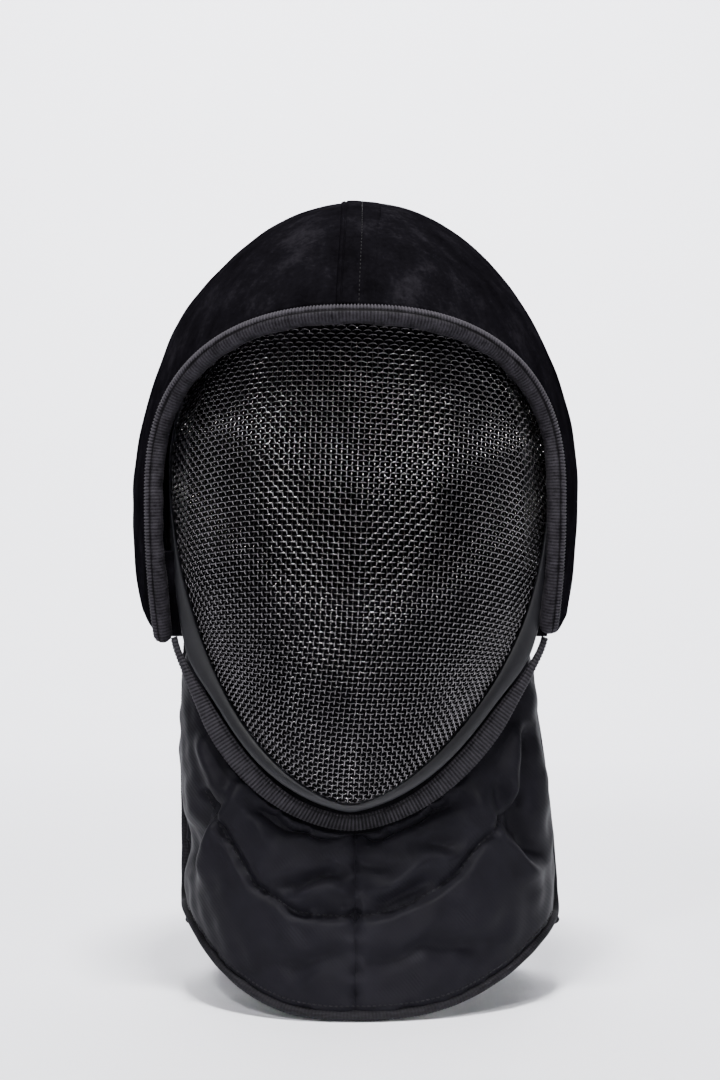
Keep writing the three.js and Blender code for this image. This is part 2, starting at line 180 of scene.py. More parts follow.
def nodeTools(name):
    made = bpy.data.materials.new(name)
    made.use_nodes = True
    tree = made.node_tree
    surface = tree.nodes["Principled BSDF"]

    def add(kind, **values):
        node = tree.nodes.new("ShaderNode" + kind)
        for key, value in values.items():
            if hasattr(node, key):
                setattr(node, key, value)
            else:
                node.inputs[key.replace("_", " ")].default_value = value
        return node

    def link(fromSocket, toSocket):
        tree.links.new(fromSocket, toSocket)

    return made, surface, add, link


def place(add, link, stretch=(1, 1, 1), turn=(0, 0, 0)):
    coordinate = add("TexCoord")
    mapping = add("Mapping")
    mapping.inputs["Scale"].default_value = stretch
    mapping.inputs["Rotation"].default_value = turn
    link(coordinate.outputs["Object"], mapping.inputs["Vector"])
    return mapping.outputs["Vector"]


def noiseInto(add, link, where, scale, detail=4.0, rough=0.6):
    node = add("TexNoise")
    node.inputs["Scale"].default_value = scale
    node.inputs["Detail"].default_value = detail
    node.inputs["Roughness"].default_value = rough
    link(where, node.inputs["Vector"])
    return node.outputs["Fac"]


def ramp(add, link, source, stops):
    node = add("ValToRGB")
    band = node.color_ramp
    while len(band.elements) < len(stops):
        band.elements.new(0.5)
    for element, (at, color) in zip(band.elements, stops):
        element.position = at
        element.color = (*color, 1)
    link(source, node.inputs["Fac"])
    return node.outputs["Color"]


def toRange(add, link, source, low, high, newLow, newHigh):
    node = add("MapRange")
    node.inputs["From Min"].default_value = low
    node.inputs["From Max"].default_value = high
    node.inputs["To Min"].default_value = newLow
    node.inputs["To Max"].default_value = newHigh
    link(source, node.inputs["Value"])
    return node.outputs["Result"]


def bumpFrom(add, link, surface, heights):
    # heights: (source, strength, distance in mm), laid over each other
    before = None
    for source, strength, distance in heights:
        node = add("Bump")
        node.inputs["Strength"].default_value = strength
        node.inputs["Distance"].default_value = distance * mm
        link(source, node.inputs["Height"])
        if before is not None:
            link(before, node.inputs["Normal"])
        before = node.outputs["Normal"]
    link(before, surface.inputs["Normal"])


def steelWire():
    made, surface, add, link = nodeTools("blackened steel wire")
    where = place(add, link)
    patch = noiseInto(add, link, where, 60)
    link(ramp(add, link, patch, [(0.35, (0.070, 0.067, 0.069)), (0.7, (0.108, 0.103, 0.107))]),
         surface.inputs["Base Color"])
    link(toRange(add, link, noiseInto(add, link, where, 700), 0.3, 0.7, 0.09, 0.13),
         surface.inputs["Roughness"])
    surface.inputs["Metallic"].default_value = 1.0
    return made


def stripMetal():
    made, surface, add, link = nodeTools("satin strip metal")
    where = place(add, link)
    link(ramp(add, link, noiseInto(add, link, where, 90),
              [(0.3, (0.0048, 0.0048, 0.0062)), (0.7, (0.0072, 0.0072, 0.0092))]),
         surface.inputs["Base Color"])
    link(toRange(add, link, noiseInto(add, link, where, 300), 0.3, 0.7, 0.40, 0.52),
         surface.inputs["Roughness"])
    surface.inputs["Metallic"].default_value = 0.15
    surface.inputs["Specular IOR Level"].default_value = 0.3
    bumpFrom(add, link, surface, [(noiseInto(add, link, where, 1500), 0.12, 0.2)])
    return made


def cageSteel():
    made, surface, add, link = nodeTools("woven cage steel")
    where = place(add, link)
    waves = add("TexWave")
    waves.inputs["Scale"].default_value = 53
    across = add("TexWave")
    across.bands_direction = "Z"
    across.inputs["Scale"].default_value = 53
    link(where, waves.inputs["Vector"])
    link(where, across.inputs["Vector"])
    weaveHeight = add("Math", operation="MULTIPLY")
    link(waves.outputs["Fac"], weaveHeight.inputs[0])
    link(across.outputs["Fac"], weaveHeight.inputs[1])
    link(ramp(add, link, weaveHeight.outputs[0], [(0.2, (0.01, 0.01, 0.011)), (0.7, (0.06, 0.06, 0.065))]),
         surface.inputs["Base Color"])
    surface.inputs["Metallic"].default_value = 0.6
    surface.inputs["Roughness"].default_value = 0.5
    bumpFrom(add, link, surface, [(weaveHeight.outputs[0], 0.6, 0.8)])
    return made


def suedeHide():
    made, surface, add, link = nodeTools("black suede")
    where = place(add, link)
    streaks = place(add, link, (1, 1, 0.45), (0.3, 0.5, 0))
    worn = noiseInto(add, link, streaks, 34, 7.0, 0.72)
    nap = noiseInto(add, link, where, 420, 5.0, 0.7)
    both = add("Math", operation="MULTIPLY_ADD")
    link(nap, both.inputs[0])
    both.inputs[1].default_value = 0.32
    link(worn, both.inputs[2])
    link(ramp(add, link, both.outputs[0], [(0.50, (0.0019, 0.0017, 0.0022)), (0.68, (0.0036, 0.0033, 0.0043)),
                                           (0.90, (0.0115, 0.0106, 0.0130))]), surface.inputs["Base Color"])
    surface.inputs["Roughness"].default_value = 0.85
    surface.inputs["Specular IOR Level"].default_value = 0.0
    fine = noiseInto(add, link, where, 1500, 4.0, 0.7)
    bumpFrom(add, link, surface, [(nap, 0.25, 0.5), (fine, 0.3, 0.25)])
    return made


def ribbedTape(name, dark, light):
    # the rib wave is in the mesh too; this adds the yarns, the dust on them, and the painted light from the
    # rib attribute: painted highlight on the rib crests, painted shade in grooves and turned-away parts
    made, surface, add, link = nodeTools(name)
    where = place(add, link)
    yarn = noiseInto(add, link, where, 1300, 3.0, 0.6)
    dust = noiseInto(add, link, where, 160, 6.0, 0.7)
    both = add("Math", operation="MULTIPLY_ADD")
    link(yarn, both.inputs[0])
    both.inputs[1].default_value = 0.5
    link(dust, both.inputs[2])
    # painted highlight and painted shade: the rib attribute lightens the crests and darkens grooves and
    # shaded parts in the base colour
    rib = add("Attribute", attribute_name="rib")
    withPaintedRibLight = add("Math", operation="MULTIPLY_ADD")
    link(rib.outputs["Fac"], withPaintedRibLight.inputs[0])
    withPaintedRibLight.inputs[1].default_value = 0.6
    link(both.outputs[0], withPaintedRibLight.inputs[2])
    shade = toRange(add, link, withPaintedRibLight.outputs[0], 0.55, 1.35, 0.0, 1.0)
    link(ramp(add, link, shade, [(0.0, dark), (1.0, light)]), surface.inputs["Base Color"])
    surface.inputs["Roughness"].default_value = 0.7
    surface.inputs["Specular IOR Level"].default_value = 0.06
    surface.inputs["Sheen Weight"].default_value = 0.008
    surface.inputs["Sheen Roughness"].default_value = 0.4
    bumpFrom(add, link, surface, [(yarn, 0.5, 0.25)])
    return made


def satinTwill():
    made, surface, add, link = nodeTools("black satin twill")
    where = place(add, link)
    slanted = place(add, link, (1, 1, 1), (0, math.radians(40), 0))
    twill = add("TexWave")
    twill.inputs["Scale"].default_value = 180
    twill.inputs["Distortion"].default_value = 0.6
    link(slanted, twill.inputs["Vector"])
    cloud = noiseInto(add, link, where, 45, 4.0, 0.6)
    grain = noiseInto(add, link, where, 1100, 3.0, 0.6)
    link(ramp(add, link, cloud, [(0.3, (0.0040, 0.0037, 0.0052)), (0.75, (0.0064, 0.0060, 0.0082))]),
         surface.inputs["Base Color"])
    surface.inputs["Roughness"].default_value = 0.58
    surface.inputs["Specular IOR Level"].default_value = 0.045
    surface.inputs["Sheen Weight"].default_value = 0.003
    surface.inputs["Sheen Roughness"].default_value = 0.35
    bumpFrom(add, link, surface, [(twill.outputs["Fac"], 0.30, 0.12), (grain, 0.3, 0.15)])
    return made


def sewingThread(name, dark, light):
    made, surface, add, link = nodeTools(name)
    where = place(add, link)
    twist = noiseInto(add, link, where, 2500, 2.0, 0.5)
    link(ramp(add, link, twist, [(0.3, dark), (0.7, light)]), surface.inputs["Base Color"])
    surface.inputs["Roughness"].default_value = 0.6
    surface.inputs["Specular IOR Level"].default_value = 0.1
    return made


def studioPaper():
    made, surface, add, link = nodeTools("pale studio paper")
    where = place(add, link)
    link(ramp(add, link, noiseInto(add, link, where, 3),
              [(0.3, (0.87, 0.87, 0.92)), (0.7, (0.89, 0.89, 0.94))]),
         surface.inputs["Base Color"])
    surface.inputs["Roughness"].default_value = 0.7
    return made


steel = steelWire()
satinSteel = stripMetal()
wovenSteel = cageSteel()
suede = suedeHide()
foldTape = ribbedTape("ribbed edge tape", (0.0016, 0.0014, 0.0019), (0.036, 0.033, 0.039))
bandTape = ribbedTape("ribbed band tape", (0.0020, 0.0018, 0.0024), (0.028, 0.026, 0.030))
hemTape = ribbedTape("ribbed hem tape", (0.0014, 0.0012, 0.0017), (0.0105, 0.0098, 0.0118))
satin = satinTwill()
thread = sewingThread("black sewing thread", (0.0035, 0.0032, 0.004), (0.011, 0.0103, 0.012))
hoodThread = sewingThread("dull sewing thread", (0.0022, 0.002, 0.0026), (0.0075, 0.007, 0.0082))
paper = studioPaper()


def finishPiece(obj, look, slotName, *nodes):
    obj.data.materials.clear()
    obj.data.materials.append(look)
    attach(obj, "root")
    if nodes:
        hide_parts(*nodes)
    triangles = sum(len(p.vertices) - 2 for p in obj.data.polygons)
    print(f"stage: {obj.name}, {triangles} triangles")
    return obj


def stitchBeads(name, places, alongs, outs, length, thick):
    # a small rounded bead of thread for each stitch, half sunk into the cloth
    turns = np.arange(6) * math.pi / 3
    stations = np.array([[-1.0, 0.1], [-0.7, 0.75], [0.0, 1.0], [0.7, 0.75], [1.0, 0.1]])
    beside = unit(np.cross(alongs, outs))
    points = []
    faces = []
    caps = []
    for k, (at, along, out, side) in enumerate(zip(places, alongs, outs, beside)):
        for reach, wide in stations:
            middle = at + along * reach * length / 2
            ring = np.outer(np.cos(turns), out) + np.outer(np.sin(turns), side)
            points.append(middle + ring * wide * thick / 2)
        index = np.arange(30).reshape(5, 6) + k * 30
        index = np.concatenate([index, index[:, :1]], 1)
        faces.append(quadsOf(index))
        caps += [index[0, :-1], index[-1, :-1][::-1]]
    return meshObject(name, np.concatenate(points), np.concatenate(faces), caps)


# Wire face: a bulge with a soft crease, widest at eye level and narrow at the chin
faceLow, faceHigh = boxOf("face_mesh")
face = {
    "chinZ": faceLow[2], "topZ": faceHigh[2], "front": faceLow[1],
    "halfWidth": (faceHigh[0] - faceLow[0]) / 2,
    "wideShare": 0.608, "chinDepth": 47.4, "rimDepth": 81, "nosePlaneZ": 250, "creaseShare": 0.39,
    "sidePower": 3.4, "creaseSoft": 3, "upperCurve": 0.002014, "browZ": 360, "browCurve": 0.0064,
    "lowerPower": 2.3, "chinDrift": -2.6, "cheekDrift": 2.6, "driftToZ": 230,
}
face["wideZ"] = mix(face["chinZ"], face["topZ"], face["wideShare"])


def outlineAt(angle):
    # angle 0 is the chin, 90 the widest level, 180 the top
    s = np.sin(np.radians(angle))
    c = np.cos(np.radians(angle))
    isLow = angle <= 90
    x = face["halfWidth"] * np.where(isLow, np.abs(s) ** 1.25, s)
    lowZ = face["chinZ"] + (face["wideZ"] - face["chinZ"]) * (1 - c)
    highZ = face["wideZ"] - (face["topZ"] - face["wideZ"]) * c
    return x, np.where(isLow, lowZ, highZ)


def halfWidthAt(z):
    below = np.clip(1 - (z - face["chinZ"]) / (face["wideZ"] - face["chinZ"]), 0, 1)
    above = np.clip((z - face["wideZ"]) / (face["topZ"] - face["wideZ"]), 0, 1)
    low = np.sqrt(1 - below ** 2) ** 1.25
    return face["halfWidth"] * np.where(z <= face["wideZ"], low, np.sqrt(1 - above ** 2))


def drift(z):
    return mix(face["chinDrift"], face["cheekDrift"], smooth(z, face["chinZ"], face["driftToZ"]))


def rimY(z):
    t = np.clip((z - face["chinZ"]) / (face["wideZ"] - face["chinZ"]), 0, 1)
    return face["front"] + mix(face["chinDepth"], face["rimDepth"], 1 - (1 - t) ** 3)


def creaseY(z):
    above = z - face["nosePlaneZ"]
    drop = face["nosePlaneZ"] - face["chinZ"]
    low = face["chinDepth"] * (np.maximum(-above, 0) / drop) ** face["lowerPower"]
    brow = np.maximum(0, z - face["browZ"])
    high = face["upperCurve"] * above ** 2 + face["browCurve"] * brow ** 2
    return face["front"] + np.where(above < 0, low, high)


def faceY(share, z):
    soft = face["creaseSoft"] / face["halfWidth"]
    slope = (np.hypot(share, soft) - soft) / (math.hypot(1, soft) - soft)
    deep = face["creaseShare"] * slope + (1 - face["creaseShare"]) * np.abs(share) ** face["sidePower"]
    return mix(creaseY(z), rimY(z), deep)


def besideOutline(angle, distance):
    beforeX, beforeZ = outlineAt(np.maximum(0.2, angle - 0.5))
    afterX, afterZ = outlineAt(np.minimum(179.8, angle + 0.5))
    x, z = outlineAt(angle)
    length = np.hypot(afterX - beforeX, afterZ - beforeZ)
    isPole = (angle < 0.3) | (angle > 179.7)
    outX = np.where(isPole, 0, (afterZ - beforeZ) / length)
    outZ = np.where(isPole, np.where(angle < 90, -1, 1), -(afterX - beforeX) / length)
    return x + outX * distance, z + outZ * distance


# The weave was flat before it was pressed: each wire keeps its pitch along the bulge
weave = {
    "pitch": 3.0, "wire": 1.02, "crimp": 0.62, "sides": 4, "perPitch": 3, "skew": 0.047, "lean": 0.035,
    "sideDrop": 1.107e-5, "chinRise": 0.0015, "edgeShare": 0.997,
}

tableZ = np.linspace(face["chinZ"] + 0.5, face["topZ"] - 0.5, 180)
tableReach = np.linspace(0, 200, 400)


def spreadTable():
    shares = np.linspace(0, 1, 260)
    rows = []
    for z in tableZ:
        x = halfWidthAt(z) * shares
        reach = np.concatenate([[0], np.cumsum(np.hypot(np.diff(x), np.diff(faceY(shares, z))))])
        within = np.interp(tableReach, reach, x)
        rows.append(np.where(tableReach > reach[-1], x[-1] + (tableReach - reach[-1]) * 0.6, within))
    return np.array(rows)


spread = spreadTable()
rowZ = np.linspace(face["chinZ"] - 60, face["topZ"] + 40, 900)
rowReach = np.concatenate([[0], np.cumsum(np.hypot(np.diff(rowZ), np.diff(creaseY(rowZ))))])
rowReach -= np.interp(face["nosePlaneZ"], rowZ, rowReach)


def acrossAt(reach, z):
    # distance from the crease, seen from the front, of a wire that lies reach along the bulge
    row = np.clip((z - tableZ[0]) / (tableZ[1] - tableZ[0]), 0, len(tableZ) - 1.001)
    column = np.clip(np.abs(reach) / tableReach[1], 0, len(tableReach) - 1.001)
    r, c = row.astype(int), column.astype(int)
    fr, fc = row - r, column - c
    low = mix(spread[r, c], spread[r, c + 1], fc)
    high = mix(spread[r + 1, c], spread[r + 1, c + 1], fc)
    return np.sign(reach) * mix(low, high, fr)


def weavePoint(i, j):
    i, j = np.broadcast_arrays(np.asarray(i, float), np.asarray(j, float))
    level = np.interp(j * weave["pitch"], rowReach, rowZ)
    x = acrossAt(i * weave["pitch"], level)
    far = np.abs(x)
    bend = weave["sideDrop"] * far ** 3 * smooth(level, 175, 235)
    near = np.minimum(far, 30)
    rise = weave["chinRise"] * (near ** 2 + 2 * 30 * (far - near)) * (1 - smooth(level, 150, 215))
    z = level - weave["skew"] * x - bend + rise
    x = acrossAt(i * weave["pitch"], z) + weave["lean"] * (z - face["nosePlaneZ"])
    share = x / np.maximum(halfWidthAt(z), 1e-3)
    y = faceY(np.clip(share, -1.2, 1.2), z) + 1.0
    return np.stack([x + drift(z), y, z], -1), np.abs(share), z


def wireRun(isUpright, number):
    fine = np.arange(-70, 80, 1 / weave["perPitch"])
    i, j = (number, fine) if isUpright else (fine, number)
    points, share, z = weavePoint(i, j)
    inside = (share < weave["edgeShare"]) & (z > face["chinZ"] + 0.3) & (z < face["topZ"] - 0.3)
    kept = np.flatnonzero(inside)
    if len(kept) < 4:
        return None
    runs = np.split(kept, np.flatnonzero(np.diff(kept) > 1) + 1)
    run = max(runs, key=len)
    if len(run) < 4:
        return None
    i, j = (number, fine[run]) if isUpright else (fine[run], number)
    across = weavePoint(i + 0.1, j)[0] - weavePoint(i - 0.1, j)[0]
    up = weavePoint(i, j + 0.1)[0] - weavePoint(i, j - 0.1)[0]
    out = unit(np.cross(across, up))
    sway = np.cos(math.pi * (i + j)) * (1 if isUpright else -1) * weave["crimp"]
    points = points[run] + out * np.asarray(sway)[:, None]
    along = unit(np.gradient(points, axis=0))
    return points, out, unit(np.cross(along, out))


def wirePiece(name, isUpright, numbers):
    turns = np.arange(weave["sides"]) * 2 * math.pi / weave["sides"]
    allPoints = []
    allFaces = []
    caps = []
    start = 0
    for number in numbers:
        run = wireRun(isUpright, float(number))
        if run is None:
            continue
        points, out, side = run
        ring = np.cos(turns)[:, None] * out[:, None, :] + np.sin(turns)[:, None] * side[:, None, :]
        rows = points[:, None, :] + ring * weave["wire"] / 2
        index = np.arange(rows.shape[0] * weave["sides"]).reshape(rows.shape[0], -1) + start
        start += index.size
        index = np.concatenate([index, index[:, :1]], 1)
        allPoints.append(rows.reshape(-1, 3))
        allFaces.append(quadsOf(index))
        caps += [index[0, :-1], index[-1, :-1][::-1]]
    obj = meshObject(name, np.concatenate(allPoints), np.concatenate(allFaces), caps)
    return finishPiece(obj, steel, "wire", "face_mesh")


wirePiece("face_wires_upright_left", True, range(-62, 0))
wirePiece("face_wires_upright_right", True, range(0, 63))
wirePiece("face_wires_level_upper", False, range(6, 80))
wirePiece("face_wires_level_lower", False, range(-66, 6))


# Metal strip: a rounded band outside the wires, with a narrow groove between
strip = {
    "chinWidth": 4.8, "cheekWidth": 8, "upperWidth": 2.4, "steps": 180,
    "flare": 3.6, "flareAngle": 57, "flareSpan": 7,
}
stripSection = np.array([  # share of the width, more across, how far back
    [0, 0.5, 7.2], [0, 0.4, 0.6], [0, 0.55, -0.7], [0, 0.9, -1.35], [0, 1.5, -1.6], [0.5, 0, -1.5],
    [1, -1.5, -1.0], [1, -0.6, -0.45], [1, -0.1, 0.4], [1, 0, 1.6], [1, 0, 7.2],
    [1, -0.8, 7.9], [0, 1.2, 7.9],
])


def stripFlare(angle):
    return strip["flare"] * np.exp(-(((angle - strip["flareAngle"]) / strip["flareSpan"]) ** 2))


def frameStrip():
    rows = []
    for k in range(strip["steps"] * 2):
        isLeft = k > strip["steps"]
        turn = 180 * (strip["steps"] * 2 - k if isLeft else k) / strip["steps"]
        wide = mix(strip["chinWidth"], strip["cheekWidth"], smooth(turn, 5, 35))
        wide = mix(wide, strip["upperWidth"], smooth(turn, 62, 84)) + stripFlare(turn)
        across = stripSection[:, 0] * wide + stripSection[:, 1]
        x, z = besideOutline(np.full(len(across), turn), across)
        level = outlineAt(turn)[1]
        x = x * (-1 if isLeft else 1) + drift(level)
        rows.append(np.stack([x, rimY(level) + stripSection[:, 2], z], -1))
    return rings("face_strip", np.array(rows), True)


finishPiece(frameStrip(), satinSteel, "strip", "frame_rim")


# Hood: an egg-shaped dome of suede in two halves, lapped over each other along the middle
hoodLow, hoodHigh = boxOf("hood_left")
hood = {
    "middleY": 5, "middleZ": 285, "halfWidth": -hoodLow[0], "forward": 162, "backward": hoodHigh[1] - 5,
    "topZ": hoodHigh[2], "bottomZ": hoodLow[2], "tuck": 0.05, "leanRight": 2, "leanFromZ": 385,
    "leanToZ": 450, "pinch": 0.03, "underTrim": 5.2, "thick": 1.5, "sidePower": 1.2, "inset": 0.1,
    "cheekDrop": 11, "columns": 110, "rows": 100,
}
hood["rise"] = hood["topZ"] - hood["middleZ"]
opening = {
    "halfWidth": 112.5, "archZ": 290, "rise": 95.4, "power": 2.5, "archLength": 135, "cheekMargin": 0.42,
}


def hoodShare(z):
    high = np.sqrt(np.maximum(0, 1 - ((z - hood["middleZ"]) / hood["rise"]) ** 2))
    t = (hood["middleZ"] - z) / (hood["middleZ"] - hood["bottomZ"])
    return np.where(z >= hood["middleZ"], high, 1 - hood["tuck"] * t * t)


def hoodLean(z):
    return hood["leanRight"] * smooth(z, hood["leanFromZ"], hood["leanToZ"])


def hoodPinch(z):
    return 1 - hood["pinch"] * smooth(z, hood["leanFromZ"], hood["leanToZ"])


def hoodFrontY(x, z):
    inside = np.maximum(0, hoodShare(z) ** 2 - (x / hood["halfWidth"]) ** 2)
    return hood["middleY"] - hood["forward"] * np.sqrt(inside)


def hoodNormal(p):
    depth = np.where(p[..., 1] < hood["middleY"], hood["forward"], hood["backward"])
    drop = hood["middleZ"] - hood["bottomZ"]
    bulge = np.where(p[..., 2] >= hood["middleZ"], hood["rise"] ** 2, drop ** 2 / (2 * hood["tuck"]))
    x = (p[..., 0] - hoodLean(p[..., 2])) / hood["halfWidth"] ** 2
    y = (p[..., 1] - hood["middleY"]) / depth ** 2
    return unit(np.stack([x, y, (p[..., 2] - hood["middleZ"]) / bulge], -1))


def openingPoint(v, margin, endZ):
    # v 0 is the lower end of the cheek and 1 the top of the arch
    cheek = opening["archZ"] - endZ
    along = v * (cheek + opening["archLength"])
    halfWidth = opening["halfWidth"] + margin * opening["cheekMargin"]
    z = endZ + along
    tucked = np.minimum(1, hoodShare(z) / hoodShare(opening["archZ"]))
    turn = np.clip((along - cheek) / opening["archLength"], 0, 1) * math.pi / 2
    x = halfWidth * np.cos(turn).clip(0) ** (2 / opening["power"])
    rise = opening["rise"] + margin
    archZ = opening["archZ"] + rise * np.sin(turn) ** (2 / opening["power"])
    isCheek = along < cheek
    return np.where(isCheek, mix(halfWidth, halfWidth * tucked, 0.5), x), np.where(isCheek, z, archZ)


def hoodRelief(p, side):
    # how far the suede stands out or dips, in millimetres
    height = 0.55 * ripples(p, 75, 11 + side) + 0.2 * ripples(p, 26, 17 + side)
    level = np.clip((p[..., 2] - 300) / 160, 0, 1)
    shoulder = np.exp(-(((p[..., 2] - 352) / 42) ** 2)) * smooth(-p[..., 0], 85, 118)
    # soft creases that run up the shoulders, side by side with the outline
    reach = hood["halfWidth"] * np.maximum(hoodShare(p[..., 2]), 0.1)
    far = np.abs(p[..., 0] - hoodLean(p[..., 2])) / reach
    isUpper = smooth(p[..., 2], 318, 345) * (1 - smooth(p[..., 2], 405, 432)) * (p[..., 1] < 40)
    creases = sum(deep * np.exp(-(((far - at) / 0.016) ** 2))
                  for at, deep in ((0.90, -0.9), (0.80, -0.6), (0.70, 0.5)))
    return height * (1 - 0.5 * level) - 1.4 * shoulder + creases * isUpper


def hoodGrid(side, columns, rows):
    u, v = np.meshgrid(np.linspace(0, 1, columns), 1 - (1 - np.linspace(0, 1, rows)) ** 1.3, indexing="ij")
    edgeX, edgeZ = openingPoint(v, hood["underTrim"], hood["bottomZ"])
    climb = np.sin(v * math.pi / 2) ** hood["sidePower"]
    archZ = mix(hood["bottomZ"], hood["topZ"], climb)
    archX = hood["halfWidth"] * hoodShare(archZ)
    t = 1 - (1 - np.minimum(1, u * 2)) ** 2
    frontX, frontZ = mix(edgeX, archX, t), mix(edgeZ, archZ, t)
    frontZ -= hood["cheekDrop"] * (1 - smooth(u, 0, 0.36)) * (1 - v) ** 6
    swing = np.maximum(0, u - 0.5) * math.pi
    isFront = u <= 0.5
    backY = hood["middleY"] + hood["backward"] * hoodShare(archZ) * np.sin(swing)
    x = np.where(isFront, frontX * hoodPinch(frontZ), archX * hoodPinch(archZ) * np.cos(swing))
    z = np.where(isFront, frontZ, archZ)
    y = np.where(isFront, hoodFrontY(frontX, frontZ), backY)
    x = np.where((v > 0.9999) | (u > 0.9999), 0, x)
    return np.stack([side * np.maximum(x, 0.15) + hoodLean(z), y, z], -1)


def hoodHalf(name, side):
    grid = hoodGrid(side, hood["columns"], hood["rows"])
    out = hoodNormal(grid)
    edge = smooth(np.abs(grid[..., 0] - hoodLean(grid[..., 2])), 0, 12)[..., None]
    outer = grid + out * (hoodRelief(grid, side)[..., None] * edge - hood["inset"])
    inner = outer - out * hood["thick"]
    centre = hoodLean(grid[..., 2]) + side * 0.15
    isSeam = np.abs(grid[..., 0] - centre) < 0.05
    for points in (outer, inner):
        points[..., 0] = np.where(isSeam, centre, points[..., 0])
    return shell(name, outer, inner)


def areaOf(obj):
    return sum(p.area for p in obj.data.polygons) / 2


hoodPieces = []
for name, side in (("hood_left_suede", -1), ("hood_right_suede", 1)):
    half = finishPiece(hoodHalf(name, side), suede, "suede", "hood_left" if side < 0 else "hood_right")
    hoodPieces.append(half)
    print(f"stage: {name}, area {areaOf(half):.4f}")


# Lap of the seam: the right half runs over the left one and is sewn down beyond the middle
lap = {"edgeX": -7.2, "stitchX": 2.0, "wide": 23.6, "stitchPitch": 3.4, "stitchLong": 1.9}


def seamLine(x, count, endZ):
    # along the hood at an even distance from the middle: from the brow over the crown and down
    share = math.sqrt(1 - (x / hood["halfWidth"]) ** 2)
    browZ = opening["archZ"] + opening["rise"] + hood["underTrim"]
    startTurn = math.asin((browZ - hood["middleZ"]) / (hood["rise"] * share))
    turn = np.linspace(startTurn, math.pi, int(count * 0.8))
    z = hood["middleZ"] + hood["rise"] * share * np.sin(turn)
    depth = np.where(turn < math.pi / 2, hood["forward"], hood["backward"])
    y = hood["middleY"] - depth * share * np.cos(turn)
    lowZ = np.linspace(hood["middleZ"], endZ, count - len(z) + 1)[1:]
    lowY = hood["middleY"] + hood["backward"] * np.sqrt(hoodShare(lowZ) ** 2 - (x / hood["halfWidth"]) ** 2)
    z, y = np.concatenate([z, lowZ]), np.concatenate([y, lowY])
    return np.stack([x * hoodPinch(z) + hoodLean(z), y, z], -1)


def hoodLap():
    # a low lip of the left half, a crevice, then the lapped edge and its sewn-down part
    section = np.array([
        [-3.4, -0.5], [-2.6, 0.5], [-1.4, 0.95], [-0.9, 0.9], [-0.75, -0.3], [-0.15, -0.3], [0, 1.0],
        [0.8, 1.25], [3, 1.2], [6, 1.0], [8, 0.7], [9.2, 0.05],
        [10.2, 0.45], [13, 0.3], [17, 0.05], [20.2, -0.6],
    ])
    xs, heights = lap["edgeX"] + section[:, 0], section[:, 1]
    outer = []
    inner = []
    for x, height in zip(xs, heights):
        line = seamLine(x, 240, hood["bottomZ"] + 0.5)
        out = hoodNormal(line)
        tuft = 0.12 * ripples(line, 16, 5) * (1 if x < 8 else 0)
        level = height * mix(1, 0.4, smooth(line[:, 2], 442, 458))
        outer.append(line + out * (level + tuft + 0.25)[:, None])
        inner.append(line + out * -0.6)
    return shell("hood_lap", np.array(outer), np.array(inner))


lapPiece = finishPiece(hoodLap(), suede, "suede")


def stitchRow(name, line, outs, pitch, long, thick, lift=0.0):
    even, points, normals = resample(line, pitch, outs)
    alongs = unit(np.gradient(points, axis=0))
    normals = unit(normals)
    return stitchBeads(name, points + normals * lift, alongs, normals, long, thick)


seamStitchLine = seamLine(lap["stitchX"], 400, hood["bottomZ"] + 4)
lapStitches = finishPiece(stitchRow("hood_lap_stitches", seamStitchLine, hoodNormal(seamStitchLine),
                                    lap["stitchPitch"], lap["stitchLong"], 0.6, 0.5), hoodThread, "suede")


# Edge of the suede turned in at the cheeks, behind the roll and towards the metal strip
turnedEdge = {
    "fromZ": 209, "toZ": 258, "outerX": 109.5, "lowPast": -1.5, "highPast": 3.0, "behindRoll": 5.0,
    "slope": 4.0, "thick": 1.4,
}


def turnedIn(name, side):
    z = np.linspace(turnedEdge["fromZ"], turnedEdge["toZ"], 60)
    share = np.linspace(0, 1, 9)
    level, across = np.meshgrid(z, share, indexing="ij")
    past = mix(turnedEdge["lowPast"], turnedEdge["highPast"], smooth(level, 228, 244))
    nearX = np.minimum(halfWidthAt(level) + past + side * drift(level), turnedEdge["outerX"] - 1)
    x = mix(turnedEdge["outerX"], nearX, across)
    y = hoodFrontY(opening["halfWidth"], level) + turnedEdge["behindRoll"] + turnedEdge["slope"] * across ** 2
    grid = np.stack([side * x, y + 0.4 * ripples(np.stack([x, y, level], -1), 22, 53), level], -1)
    behind = grid + np.array([0, turnedEdge["thick"], 0])
    return shell(name, grid, behind)


turnedLeft = finishPiece(turnedIn("hood_turned_edge_left", -1), suede, "suede")
turnedRight = finishPiece(turnedIn("hood_turned_edge_right", 1), suede, "suede")


# The cuts don't show; the form of each hood half is worked out again here, and nothing more is made from it
for half, turned, side in zip(hoodPieces, (turnedLeft, turnedRight), (-1, 1)):
    form = hoodGrid(side, hood["columns"], hood["rows"])


# Rolled tape round the hood's opening: a ladder strip outside, then a fold that turns inwards
trimLow, trimHigh = boxOf("hood_trim")
trim = {
    "radius": 5.4, "leftEndZ": 206.5, "rightEndZ": 211.5, "step": 0.36, "sides": 36, "ribPitch": 1.8,
    "stripRib": 0.42, "foldRib": 0.10, "grooveTurn": 24, "grooveDeep": 1.3, "grooveWide": 8,
}


def trimPath():
    v = np.linspace(0, 1, 400)
    leftX, leftZ = openingPoint(v, 0, trim["leftEndZ"])
    rightX, rightZ = openingPoint(v[:-1][::-1], 0, trim["rightEndZ"])
    x, z = np.concatenate([-leftX, rightX]), np.concatenate([leftZ, rightZ])
    line = np.stack([x, hoodFrontY(np.abs(x), z), z], -1)
    return line, hoodNormal(line)


